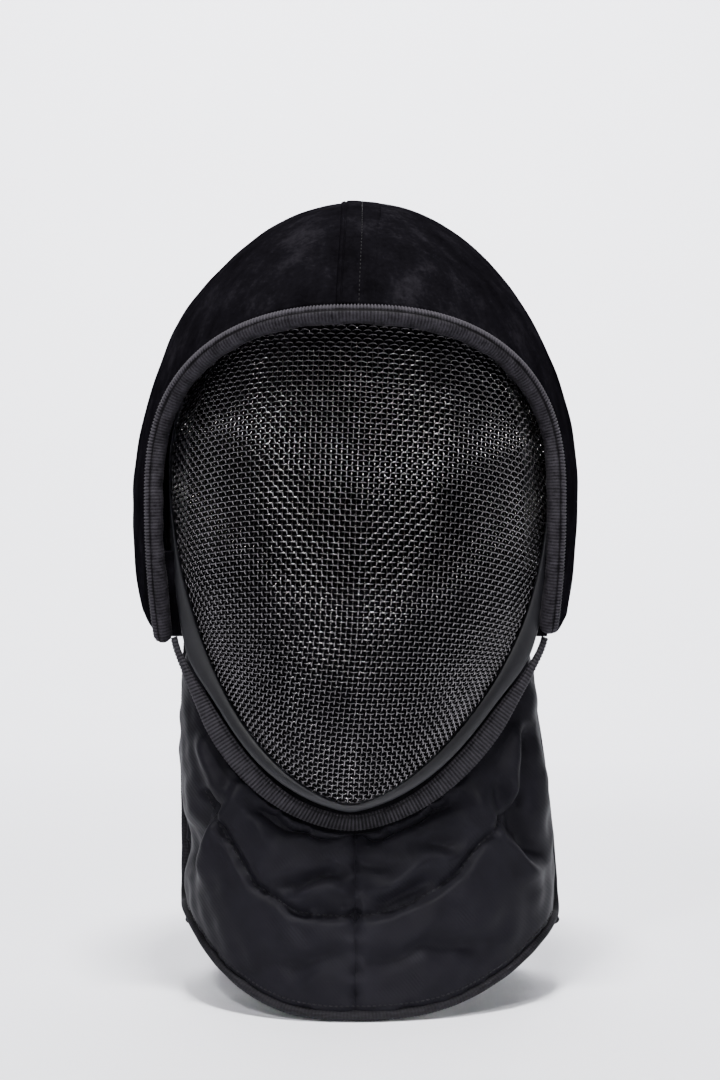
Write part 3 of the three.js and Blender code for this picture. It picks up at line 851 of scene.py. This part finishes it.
def trimRoll():
    line, outs = trimPath()
    even, points, outs = resample(line, trim["step"], outs)
    along = unit(np.gradient(points, axis=0))
    # beside points away from the opening
    beside = unit(np.cross(along, outs))
    outs = unit(np.cross(beside, along))
    turns = np.linspace(-180, 180, trim["sides"], endpoint=False)
    radius = np.full((len(points), len(turns)), trim["radius"])
    # the tape twists along the roll so that its sewn groove keeps to the front
    front = np.degrees(np.arctan2(-beside[:, 1], -outs[:, 1]))
    past = (front[:, None] - turns[None, :] - trim["grooveTurn"] + 180) % 360 - 180
    onStrip = smooth(past, 6, 13) * (1 - smooth(past, 78, 100))
    onFold = smooth(past, -175, -130) * (1 - smooth(past, -20, -8))
    groove = np.exp(-((past / trim["grooveWide"]) ** 2))
    wave = np.sin(2 * math.pi * even / trim["ribPitch"])
    slack = ripples(points, 34, 23) * 0.35 + ripples(points, 11, 29) * 0.13
    radius += -trim["grooveDeep"] * groove - 0.35 * onStrip
    radius += wave[:, None] * (trim["stripRib"] * onStrip + trim["foldRib"] * onFold)
    radius += (slack[:, None] + 0.25) * onFold
    fromEnd = np.minimum(even, even[-1] - even)
    cap = np.sqrt(np.clip(1 - (1 - fromEnd / 5.5).clip(0) ** 2, 0.02, 1))
    radius *= cap[:, None]
    c, s = np.cos(np.radians(turns)), np.sin(np.radians(turns))
    ring = c[:, None] * outs[:, None, :] + s[:, None] * beside[:, None, :]
    obj = rings("hood_trim_roll", points[:, None, :] + ring * radius[..., None])
    # painted highlight on the strip and its rib crests, painted shade on the side of the fold turned inward
    # and in the sewn groove
    paintedLightAndShade = mix(0.15 + 0.25 * wave[:, None], 0.62 + 0.62 * wave[:, None], onStrip)
    paintedInwardShade = 1 - 0.9 * smooth(-past, 50, 90)
    markPaintedRibLight(obj, np.clip(paintedLightAndShade * paintedInwardShade - groove, -0.5, 1.2))
    return obj


finishPiece(trimRoll(), foldTape, "tape", "hood_trim")


# Ribbed tape over the joint between strip and bib
band = {
    "endAngle": 61.5, "thick": 2.0, "chinIn": 6.6, "chinOut": 15.6, "cheekIn": 9.6, "cheekOut": 19,
    "evenFrom": 26, "behindRim": 2.5, "turnBack": 3.5, "ribPitch": 2.0, "rib": 0.24, "crown": 0.7,
}


def bandEdges(angle):
    t = smooth(angle, 0, band["evenFrom"])
    return mix(band["chinIn"], band["cheekIn"], t), mix(band["chinOut"], band["cheekOut"], t)


def ribbedBand():
    halfSteps = 480
    share = np.linspace(0, 1, 14)
    steps = np.arange(-halfSteps, halfSteps + 1)
    angle = np.repeat(band["endAngle"] * np.abs(steps) / halfSteps, len(share))
    side = np.repeat(np.where(steps < 0, -1, 1), len(share))
    across = np.tile(share, len(steps))
    near, far = bandEdges(angle)
    far = far + 2.2 * np.exp(-(((angle - 36) / 13) ** 2))
    far = near + (far - near) * mix(1, 0.42, smooth(angle, 42, 61))
    x, z = besideOutline(angle, mix(near, far, across) + stripFlare(angle)
                         + 0.16 * smooth(angle, 55, 61) * near)
    level = outlineAt(angle)[1]
    y = rimY(level) + band["behindRim"] + band["turnBack"] * across ** 2
    grid = np.stack([x * side + drift(level), y, z], -1).reshape(len(steps), len(share), 3)
    out = gridNormals(grid)
    out *= np.where(out[..., 1:2] > 0, -1, 1)
    reach = runLength(grid[:, 7])
    wave = np.sin(2 * math.pi * (reach[:, None] + 0.8 * share[None, :]) / band["ribPitch"])
    crown = band["crown"] * (1 - (2 * share - 1) ** 4)[None, :]
    hemLine = -0.45 * np.exp(-(((share - 0.14) / 0.05) ** 2))[None, :]
    outer = grid + out * (band["rib"] * wave + crown + hemLine)[..., None]
    obj = shell("bib_band_tape", outer, grid - out * band["thick"])
    # painted shade under the chin and along the sewn hem line, painted highlight on the rib crests
    paintedShadeUnderChin = 0.6 * (1 - smooth(np.abs(grid[..., 0]), 12, 60))
    paintedLightAndShade = 0.5 + 0.5 * wave + hemLine * 1.5 - paintedShadeUnderChin
    markPaintedRibLight(obj, np.concatenate([paintedLightAndShade.ravel(), np.zeros(paintedLightAndShade.size)]))
    return obj


finishPiece(ribbedBand(), bandTape, "tape", "bib_band")


# Padded bib: two quilted halves from the band down to a tongue-shaped hem
bib = {
    "middleY": 0, "halfWidth": 110, "forward": 104, "bandAngle": 80, "bandShare": 60, "wall": 8,
    "behindRim": 9.5, "leftRise": 50, "rightRise": 43, "hemPower": 2.7,
    "cornerAngle": 82, "cornerRadius": 22, "rearClear": 0.8,
    "puff": 9, "sidePuff": 0.2, "sideShift": 9, "shiftFromZ": 210, "tuckFrom": 30, "tuckTo": 58,
    "tuckBack": 4, "backTopAngle": 94, "backTopX": 98, "backTopY": 9, "backTopZ": 232,
    "bindingHigh": 6, "bindingThick": 10.5, "gap": 0.4,
    "voxel": 4.2, "shrink": 0.8, "pressure": 4.0,
    "frames": 20, "mostSwell": 4.0, "heldWithin": 6.5, "seamX": -1.0,
    "foldShare": 1.7,
}

# what the padding does: how deep (ridges are positive), how wide, and where it runs, as x and z
bibFolds = [
    {"what": "sewn line, left", "deep": -2.7, "wide": 2.8, "run": [
        (-84, 122), (-77, 107), (-72, 98), (-63, 84), (-56, 73), (-45, 67), (-34, 60), (-25, 58), (0, 57.5)]},
    {"what": "sewn line, right", "deep": -2.6, "wide": 2.8, "run": [
        (0, 57.5), (10, 58.5), (19, 60), (31, 64), (46, 71), (58, 80), (66, 90), (75, 99), (83, 108)]},
    {"what": "turn of the left side", "deep": 4.2, "wide": 4.5, "run": [
        (-63, 128), (-70, 116), (-77, 106), (-83, 95), (-87, 80), (-92, 68)]},
    {"what": "valley beyond it", "deep": -6.0, "wide": 5.0, "run": [
        (-74, 122), (-82, 112), (-91, 98), (-95, 84), (-98, 70)]},
    {"what": "turn of the right side", "deep": 4.2, "wide": 4.5, "run": [
        (62, 131), (69, 117), (80, 103), (89, 90), (99, 74), (105, 66)]},
    {"what": "valley beyond it", "deep": -6.0, "wide": 5.0, "run": [
        (74, 128), (81, 117), (91, 104), (99, 92), (107, 78)]},
    {"what": "upright fold, left", "deep": 3.6, "wide": 4.0, "run": [
        (-84, 160), (-81, 140), (-78, 124), (-80, 112)]},
    {"what": "upright fold, right", "deep": 3.8, "wide": 4.0, "run": [
        (93, 160), (91, 138), (87, 120), (82, 106)]},
    {"what": "upright valley, right", "deep": -4.5, "wide": 4.5, "run": [
        (101, 160), (98, 138), (95, 118), (93, 104)]},
    {"what": "dip over the left pillow", "deep": -4.2, "wide": 3.0, "run": [
        (-50, 71), (-42, 74), (-25, 78), (-12, 79), (-3, 83)]},
    {"what": "left pillow", "deep": 3.0, "wide": 4.5, "run": [(-40, 69), (-26, 71), (-12, 71), (-3, 70)]},
    {"what": "dip under the left pillow", "deep": -2.6, "wide": 2.6, "run": [(-36, 63), (-22, 61), (-6, 61)]},
    {"what": "dip on the right", "deep": -4.0, "wide": 3.4, "run": [(3, 65), (18, 67.5), (33, 71), (50, 78)]},
    {"what": "ridge over it", "deep": 3.0, "wide": 4.2, "run": [(3, 72), (18, 75), (32, 80), (46, 87)]},
    {"what": "upper dip on the right", "deep": -3.2, "wide": 3.4, "run": [(30, 92), (47, 95), (64, 98)]},
    {"what": "ridge under it", "deep": 1.8, "wide": 3.6, "run": [(36, 86), (50, 89), (63, 91)]},
    {"what": "pucker beside the seam", "deep": -2.0, "wide": 2.6, "run": [(2, 86), (12, 85), (22, 87)]},
    {"what": "lower dip, left", "deep": -2.8, "wide": 4.6,
     "run": [(-52, 32), (-38, 31), (-16, 33.5), (-2, 36)]},
    {"what": "lower dip, right", "deep": -2.8, "wide": 4.6, "run": [(2, 31), (18, 35), (40, 38.5), (76, 41)]},
    {"what": "dip under the band, left", "deep": -5.0, "wide": 3.2, "run": [
        (-62, 119), (-55, 114), (-40, 110), (-20, 104), (-2, 101)]},
    {"what": "dip under the band, right", "deep": -4.6, "wide": 3.2, "run": [
        (2, 101), (22, 105), (42, 113), (60, 122)]},
    {"what": "slant ridge, left", "deep": 2.2, "wide": 4.5, "run": [(-58, 112), (-52, 102), (-42, 94)]},
]


def outwardAt(angle):
    a = np.radians(angle)
    return np.stack([np.sin(a), -np.cos(a), np.zeros_like(a)], -1)


def hangShift(z):
    return bib["sideShift"] * np.maximum(0, 1 - (z / bib["shiftFromZ"]) ** 2)


def bibTop(side, angle):
    q = np.minimum(1, angle / bib["bandAngle"])
    turn = bib["bandShare"] * (1.3 * q - 0.3 * q * q)
    near, far = bandEdges(turn)
    tucked = smooth(turn, bib["tuckFrom"], bib["tuckTo"])
    x, z = besideOutline(turn, mix(far + bib["gap"], near, tucked))
    y = rimY(outlineAt(turn)[1]) + bib["behindRim"] + bib["tuckBack"] * tucked
    past = np.maximum(0, angle - bib["bandAngle"]) / (bib["backTopAngle"] - bib["bandAngle"])
    line = np.stack([side * x + drift(z), y, z], -1)
    rear = np.array([side * bib["backTopX"], bib["backTopY"], bib["backTopZ"]])
    return mix(line, rear, past[..., None])


def hemHeight(side, angle, inset):
    high = np.where(np.asarray(side) < 0, bib["leftRise"], bib["rightRise"])

    def rise(at):
        return high * np.abs(np.sin(np.radians(at))) ** bib["hemPower"]

    slope = (rise(angle + 0.5) - rise(angle - 0.5)) / (bib["halfWidth"] * math.radians(1))
    front = rise(angle) + inset * np.hypot(1, slope)
    past = np.radians(angle - bib["cornerAngle"]) * bib["halfWidth"]
    radius = bib["cornerRadius"] - inset
    middle = rise(bib["cornerAngle"]) + bib["cornerRadius"]
    corner = middle - np.sqrt(np.maximum(0, radius ** 2 - past ** 2))
    return np.where(angle <= bib["cornerAngle"], front, corner)


def bibEndAngle(inset):
    return bib["cornerAngle"] + math.degrees((bib["cornerRadius"] - inset) / bib["halfWidth"])


def bibPoint(side, angle, v, inset):
    out = outwardAt(side * angle)
    hem = out * np.array([bib["halfWidth"], bib["forward"], 1])
    hem[..., 1] += bib["middleY"]
    hem[..., 2] = hemHeight(side, angle, inset)
    puff = bib["puff"] * np.sin(math.pi * v) * mix(bib["sidePuff"], 1, np.cos(np.radians(angle)))
    p = mix(bibTop(side, angle), hem, v[..., None]) + out * puff[..., None]
    lean = hangShift(p[..., 2]) * np.sin(np.radians(angle)) ** 2 * np.sin(v * math.pi / 2)
    p[..., 0] += lean
    return p


def nearRun(x, z, run):
    # distance from a run of straight pieces, and how far along it the nearest place is
    best = np.full(x.shape, 1e9)
    along = np.zeros(x.shape)
    reach = 0.0
    for (ax, az), (bx, bz) in zip(run[:-1], run[1:]):
        length = math.hypot(bx - ax, bz - az)
        t = np.clip(((x - ax) * (bx - ax) + (z - az) * (bz - az)) / length ** 2, 0, 1)
        away = np.hypot(x - ax - t * (bx - ax), z - az - t * (bz - az))
        along = np.where(away < best, reach + t * length, along)
        best = np.minimum(best, away)
        reach += length
    return best, along, reach


def foldRelief(x, z, folds):
    height = np.zeros(x.shape)
    # loose folds wander a little and run out slowly; sewn lines keep to their runs
    looseX = x + 1.6 * np.sin(z / 7.3 + 0.6) + 0.9 * np.sin(x / 4.9 + z / 6.1)
    looseZ = z + 1.5 * np.sin(x / 8.1) + 0.8 * np.sin(x / 3.9 - z / 7.7)
    for fold in folds:
        isSewn = fold["what"].startswith("sewn")
        away, along, total = nearRun(x, z, fold["run"]) if isSewn else nearRun(looseX, looseZ, fold["run"])
        fade = smooth(np.minimum(along, total - along), -3, min(16, 0.5 * total))
        wide = fold["wide"] * (1 if isSewn else 1.35)
        swell = np.exp(-(away / wide) ** 2) * (1 if isSewn else fade)
        pucker = 1 + 0.12 * np.sin(along * 2 * math.pi / 8.5 + 1.3 * np.sin(along / 5)) * isSewn
        height += fold["deep"] * swell * pucker
    return height


def inflate(obj, isHeld, settings):
    # padding under pressure, held where it is sewn; the swell is capped
    before = coordinates(obj)
    group = obj.vertex_groups.new(name="held")
    group.add([int(k) for k in np.flatnonzero(isHeld(before))], 1.0, "REPLACE")
    cloth = obj.modifiers.new("padding", "CLOTH")
    cloth.settings.quality = 6
    cloth.settings.mass = 0.25
    cloth.settings.use_pressure = True
    cloth.settings.uniform_pressure_force = settings["pressure"]
    cloth.settings.vertex_group_mass = "held"
    cloth.settings.effector_weights.gravity = 0
    cloth.settings.tension_stiffness = 12
    cloth.settings.bending_stiffness = 0.3
    cloth.point_cache.frame_start = 1
    cloth.point_cache.frame_end = settings["frames"]
    for step in range(1, settings["frames"] + 1):
        bpy.context.scene.frame_set(step)
    asMesh(obj)
    bpy.context.scene.frame_set(1)
    after = coordinates(obj)
    move = after - before
    length = np.linalg.norm(move, axis=1, keepdims=True)
    move *= np.minimum(1, settings["mostSwell"] / np.maximum(length, 1e-6))
    setCoordinates(obj, before + move)
    obj.vertex_groups.clear()
    print(f"stage: {obj.name} swelled by up to {min(length.max(), settings['mostSwell']):.1f} mm")


def nearestAway(points, lines):
    # distance of each point from a cloud of line points
    tree = KDTree(len(lines))
    for k, at in enumerate(lines):
        tree.insert(at, k)
    tree.balance()
    return np.array([tree.find(p)[2] for p in points])


def bibHalf(name, side):
    inset = bib["bindingHigh"] * 0.55
    end = bibEndAngle(inset) - bib["rearClear"]
    angle, v = np.meshgrid(np.linspace(0, end, 70), np.linspace(0, 1, 44), indexing="ij")
    grid = bibPoint(side, angle, v, inset)
    grid[..., 0] = side * np.maximum(bib["seamX"], side * grid[..., 0])
    out = gridNormals(grid)
    out *= np.sign((out * outwardAt(side * angle)).sum(-1))[..., None]
    outer = grid - out * bib["shrink"]
    inner = grid - out * (bib["wall"] - 0.6)
    inner[0, :, 0] = side * bib["seamX"]
    outer[0, :, 0] = side * bib["seamX"]
    obj = shell(name, outer, inner)
    middle = (outer + inner) / 2
    border = np.concatenate([middle[0], middle[-1], middle[:, 0], middle[:, -1]])
    remesh = obj.modifiers.new("even", "REMESH")
    remesh.mode = "VOXEL"
    remesh.voxel_size = bib["voxel"] * mm
    asMesh(obj)

    def isHeld(points):
        held = nearestAway(points, border) < bib["heldWithin"]
        for fold in bibFolds[:2]:
            held |= nearRun(points[:, 0], points[:, 2], fold["run"])[0] < 2.5
        return held

    inflate(obj, isHeld, bib)
    finer = obj.modifiers.new("finer", "SUBSURF")
    finer.levels = 2
    finer.render_levels = 2
    asMesh(obj)
    points = coordinates(obj)
    normals = vertexNormals(obj)
    plan = unit(points * np.array([1, 1, 0]))
    facing = smooth((normals * plan).sum(1), 0.15, 0.6)
    height = bib["foldShare"] * foldRelief(points[:, 0], points[:, 2], bibFolds)
    height -= 1.5 * np.exp(-(points[:, 0] / 5.0) ** 2) * (1 + 0.5 * np.sin(points[:, 2] / 1.9))
    height += 0.9 * ripples(points, 46, 31) + 0.45 * ripples(points, 17, 37)
    hem = hemHeight(side, np.degrees(np.arctan2(np.abs(points[:, 0]), -points[:, 1])), inset)
    calm = smooth(points[:, 2], hem - 2, hem + 12)
    beyondSeam = smooth(np.abs(points[:, 0]), 3, 10)[:, None]
    direction = unit(mix(plan, normals, beyondSeam))
    points += direction * (height * facing * mix(0.2, 1, calm))[:, None]
    setCoordinates(obj, points)
    return obj


bibLeft = finishPiece(bibHalf("bib_left_padding", -1), satin, "satin", "bib_left")
bibRight = finishPiece(bibHalf("bib_right_padding", 1), satin, "satin", "bib_right")


# Stitches along the sewn lines, set on the cloth where it lies
def onCloth(obj, line, direction):
    # the line moved on to the cloth, with the cloth's outward directions
    places = []
    outs = []
    for p in line:
        start = (p - direction * 120) * mm
        isHit, at, out, _ = obj.ray_cast(start.tolist(), direction.tolist(), distance=0.4)
        if isHit:
            places.append(np.array(at) / mm)
            outs.append(np.array(out))
    return np.array(places), np.array(outs)


def runPoints(run, pitch):
    line = np.array([(x, 0, z) for x, z in run], float)
    return resample(line, pitch)[1]


for obj, fold, name in ((bibLeft, bibFolds[0], "quilt_stitches_left"),
                        (bibRight, bibFolds[1], "quilt_stitches_right")):
    line = runPoints(fold["run"], 3.3)
    line[:, 0] = np.where(np.abs(line[:, 0]) < 1.5, np.nan, line[:, 0])
    line = line[~np.isnan(line[:, 0])]
    places, outs = onCloth(obj, line, np.array([0.0, 1.0, 0.0]))
    alongs = unit(np.gradient(places, axis=0))
    beads = stitchBeads(name, places + outs * 0.1, alongs, outs, 2.3, 0.9)
    finishPiece(beads, thread, "satin")


# Rolled binding round the bib, and along the hem of the rear flap
def rollRings(name, line, outs, thick, high, step, ribPitch, rib, sides=18):
    even, points, outs = resample(line, step, outs)
    along = unit(np.gradient(points, axis=0))
    beside = unit(np.cross(along, outs))
    outs = unit(np.cross(beside, along))
    turns = np.radians(np.linspace(0, 360, sides, endpoint=False))
    wave = 1 + rib * np.sin(2 * math.pi * even / ribPitch) + 0.03 * ripples(points, 21, 41)
    fromEnd = np.minimum(even, even[-1] - even)
    wave *= np.sqrt(np.clip(1 - (1 - fromEnd / 3).clip(0) ** 2, 0.02, 1))
    c, s = np.cos(turns), np.sin(turns)
    ring = c[:, None] * outs[:, None, :] * thick + s[:, None] * beside[:, None, :] * high
    obj = rings(name, points[:, None, :] + ring * wave[:, None, None])
    # painted highlight on the rib crests of the binding
    paintedCrestHighlight = 0.5 + 0.5 * np.sin(2 * math.pi * even / ribPitch)
    markPaintedRibLight(obj, np.repeat(paintedCrestHighlight, sides))
    return obj


def bibBindingLine():
    inset = bib["bindingHigh"] / 2
    end = bibEndAngle(inset)
    angle = np.concatenate([np.full(60, end), end * (1 - np.linspace(0, 1, 160) ** 1.4)])
    v = np.concatenate([np.linspace(0.004, 0.996, 60), np.full(160, 1.0)])
    halves = []
    for side in (-1, 1):
        out = outwardAt(side * angle)
        halves.append((bibPoint(side, angle, v, inset) - out * bib["wall"] / 2, out))
    line = np.concatenate([halves[0][0], halves[1][0][::-1][1:]])
    outs = np.concatenate([halves[0][1], halves[1][1][::-1][1:]])
    return line, outs


bindingLine, bindingOuts = bibBindingLine()
binding = rollRings("bib_binding_roll", bindingLine, bindingOuts,
                    bib["bindingThick"] / 2, bib["bindingHigh"] / 2,
                    0.6, 1.9, 0.015)
finishPiece(binding, hemTape, "tape", "bib_binding")


def hemStitches():
    inset = bib["bindingHigh"] + 2.6
    angle = np.linspace(-74, 76, 400)
    side = np.where(angle < 0, -1, 1)
    line = np.array([bibPoint(s, np.array([abs(a)]), np.array([1.0]), inset)[0] for s, a in zip(side, angle)])
    outs = outwardAt(angle)
    even, points, outs = resample(line, 3.0, outs)
    places = []
    normals = []
    for p, out in zip(points, unit(outs)):
        obj = bibLeft if p[0] < 0 else bibRight
        at, normal = onCloth(obj, [p], -out)
        if len(at):
            places.append(at[0])
            normals.append(normal[0])
    places, normals = np.array(places), np.array(normals)
    return stitchBeads("hem_stitches", places + normals * 0.1,
                       unit(np.gradient(places, axis=0)), normals, 2.0, 0.85)


finishPiece(hemStitches(), thread, "satin")


# Rear flap of the neck, padded in upright channels
flap = {
    "middleY": 4, "startAngle": 97, "halfWidthTop": 99, "halfWidthLow": 112, "backward": 114, "topZ": 234,
    "wall": 6, "frontRise": 34, "levelAngle": 142, "sideShift": 1.5, "bindingThick": 8.5, "channels": 9,
}


def flapHem(angle, inset):
    def rise(at):
        back = np.minimum(at, 360 - at)
        return flap["frontRise"] * (1 - smooth(back, flap["startAngle"], flap["levelAngle"]))

    slope = (rise(angle + 0.5) - rise(angle - 0.5)) / (flap["backward"] * math.radians(1))
    return rise(angle) + inset * np.hypot(1, slope)


def flapPoint(u, v, inset):
    angle = mix(flap["startAngle"], 360 - flap["startAngle"], u)
    z = mix(flap["topZ"], flapHem(angle, inset), v)
    halfWidth = mix(flap["halfWidthTop"], flap["halfWidthLow"], v)
    shift = hangShift(z) * (1 + flap["sideShift"] / bib["sideShift"])
    s = np.sin(np.radians(angle))
    return np.stack([halfWidth * s + shift * s ** 2,
                     flap["middleY"] - flap["backward"] * np.cos(np.radians(angle)), z], -1)


def rearFlap():
    inset = bib["bindingHigh"] + 2 * bib["gap"]
    u, v = np.meshgrid(np.linspace(0, 1, 140), np.linspace(0, 1, 44), indexing="ij")
    grid = flapPoint(u, v, inset)
    out = outwardAt(mix(flap["startAngle"], 360 - flap["startAngle"], u))
    channel = np.abs(np.sin(math.pi * u * flap["channels"])) ** 0.6
    edge = smooth(np.minimum(v, 1 - v), 0, 0.08) * smooth(np.minimum(u, 1 - u), 0, 0.02)
    height = (2.6 * channel * edge - 1.2) + 0.5 * ripples(grid, 50, 43) * edge
    outer = grid + out * height[..., None]
    inner = grid - out * (flap["wall"] - 0.8 * channel * edge)[..., None]
    return shell("neck_flap_padding", outer, inner)


flapPiece = finishPiece(rearFlap(), satin, "satin", "neck_flap")

flapU = np.linspace(0, 1, 300)
flapOuts = outwardAt(mix(flap["startAngle"], 360 - flap["startAngle"], flapU))
flapLine = flapPoint(flapU, np.ones(300), bib["bindingHigh"] / 2) - flapOuts * flap["wall"] / 2
flapRoll = rollRings("flap_binding_roll", flapLine, flapOuts,
                     flap["bindingThick"] / 2, bib["bindingHigh"] / 2,
                     0.8, 1.9, 0.015, 14)
finishPiece(flapRoll, hemTape, "tape", "flap_binding")

for name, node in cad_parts.items():
    if name == "crown_cage":
        node.data.materials.clear()
        node.data.materials.append(wovenSteel)
        node.data.shade_smooth()


# Studio: a pale sweep, lamps above, beside and in front, and a light on the wall behind
studio = {"wallY": 2.9, "bendY": 1.5, "height": 4.2, "halfWidth": 3.6, "nearY": -3.2}


def paperSweep():
    bend = studio["wallY"] - studio["bendY"]
    turns = np.linspace(0, math.pi / 2, 24)
    y = np.concatenate([[studio["nearY"]], studio["bendY"] + bend * np.sin(turns), [studio["wallY"]]])
    z = np.concatenate([[0], bend * (1 - np.cos(turns)), [studio["height"]]])
    points = np.array([[(x, b, c) for x in (-studio["halfWidth"], studio["halfWidth"])]
                       for b, c in zip(y, z)])
    mesh = bpy.data.meshes.new("studio_paper")
    count = len(y)
    index = np.arange(count * 2).reshape(count, 2)
    mesh.from_pydata(points.reshape(-1, 3).tolist(), [], quadsOf(index).tolist())
    mesh.shade_smooth()
    obj = bpy.data.objects.new("studio_paper", mesh)
    bpy.context.scene.collection.objects.link(obj)
    obj.data.materials.append(paper)
    return obj


paperSweep()


def softBox(name, at, aim, size, power, spread=180):
    data = bpy.data.lights.new(name, "AREA")
    data.shape = "RECTANGLE"
    data.size, data.size_y = size
    data.energy = power
    data.spread = math.radians(spread)
    obj = bpy.data.objects.new(name, data)
    bpy.context.scene.collection.objects.link(obj)
    obj.location = at
    direction = np.array(aim, float) - np.array(at, float)
    yaw = math.atan2(direction[0], -direction[1])
    pitch = math.atan2(math.hypot(direction[0], direction[1]), -direction[2])
    obj.rotation_euler = (pitch, 0, yaw + math.pi)
    return obj


softBox("top_light", (0.0, -0.62, 1.7), (0, -0.08, 0.25), (0.32, 0.24), 64)
softBox("left_box", (-1.25, -1.15, 0.7), (0, -0.05, 0.2), (0.3, 0.5), 0.6)
softBox("right_box", (1.3, -0.95, 0.32), (0, -0.05, 0.12), (0.3, 0.5), 4.0)
softBox("front_light", (-0.45, -1.75, 1.35), (0, -0.05, 0.25), (0.18, 0.14), 27)
softBox("low_light", (0.1, -1.4, 0.2), (0.012, -0.1, 0.022), (0.2, 0.06), 0.13, 13)
softBox("wall_light", (0.0, 1.45, 2.6), (0, 2.9, 1.2), (3.4, 0.9), 260)

world = bpy.data.worlds.new("studio_air")
world.use_nodes = True
world.node_tree.nodes["Background"].inputs["Color"].default_value = (0.90, 0.91, 0.95, 1)
world.node_tree.nodes["Background"].inputs["Strength"].default_value = 0.15
bpy.context.scene.world = world

# Camera: level, in front of the face and a little to its left
camera = bpy.data.cameras.new("camera")
camera.lens = 80
camera.sensor_width = 36
cameraObject = bpy.data.objects.new("camera", camera)
bpy.context.scene.collection.objects.link(cameraObject)
cameraObject.location = (0.00265, face["front"] * mm - 1.272, 0.264)
cameraObject.rotation_euler = (math.pi / 2, 0, 0)
bpy.context.scene.camera = cameraObject
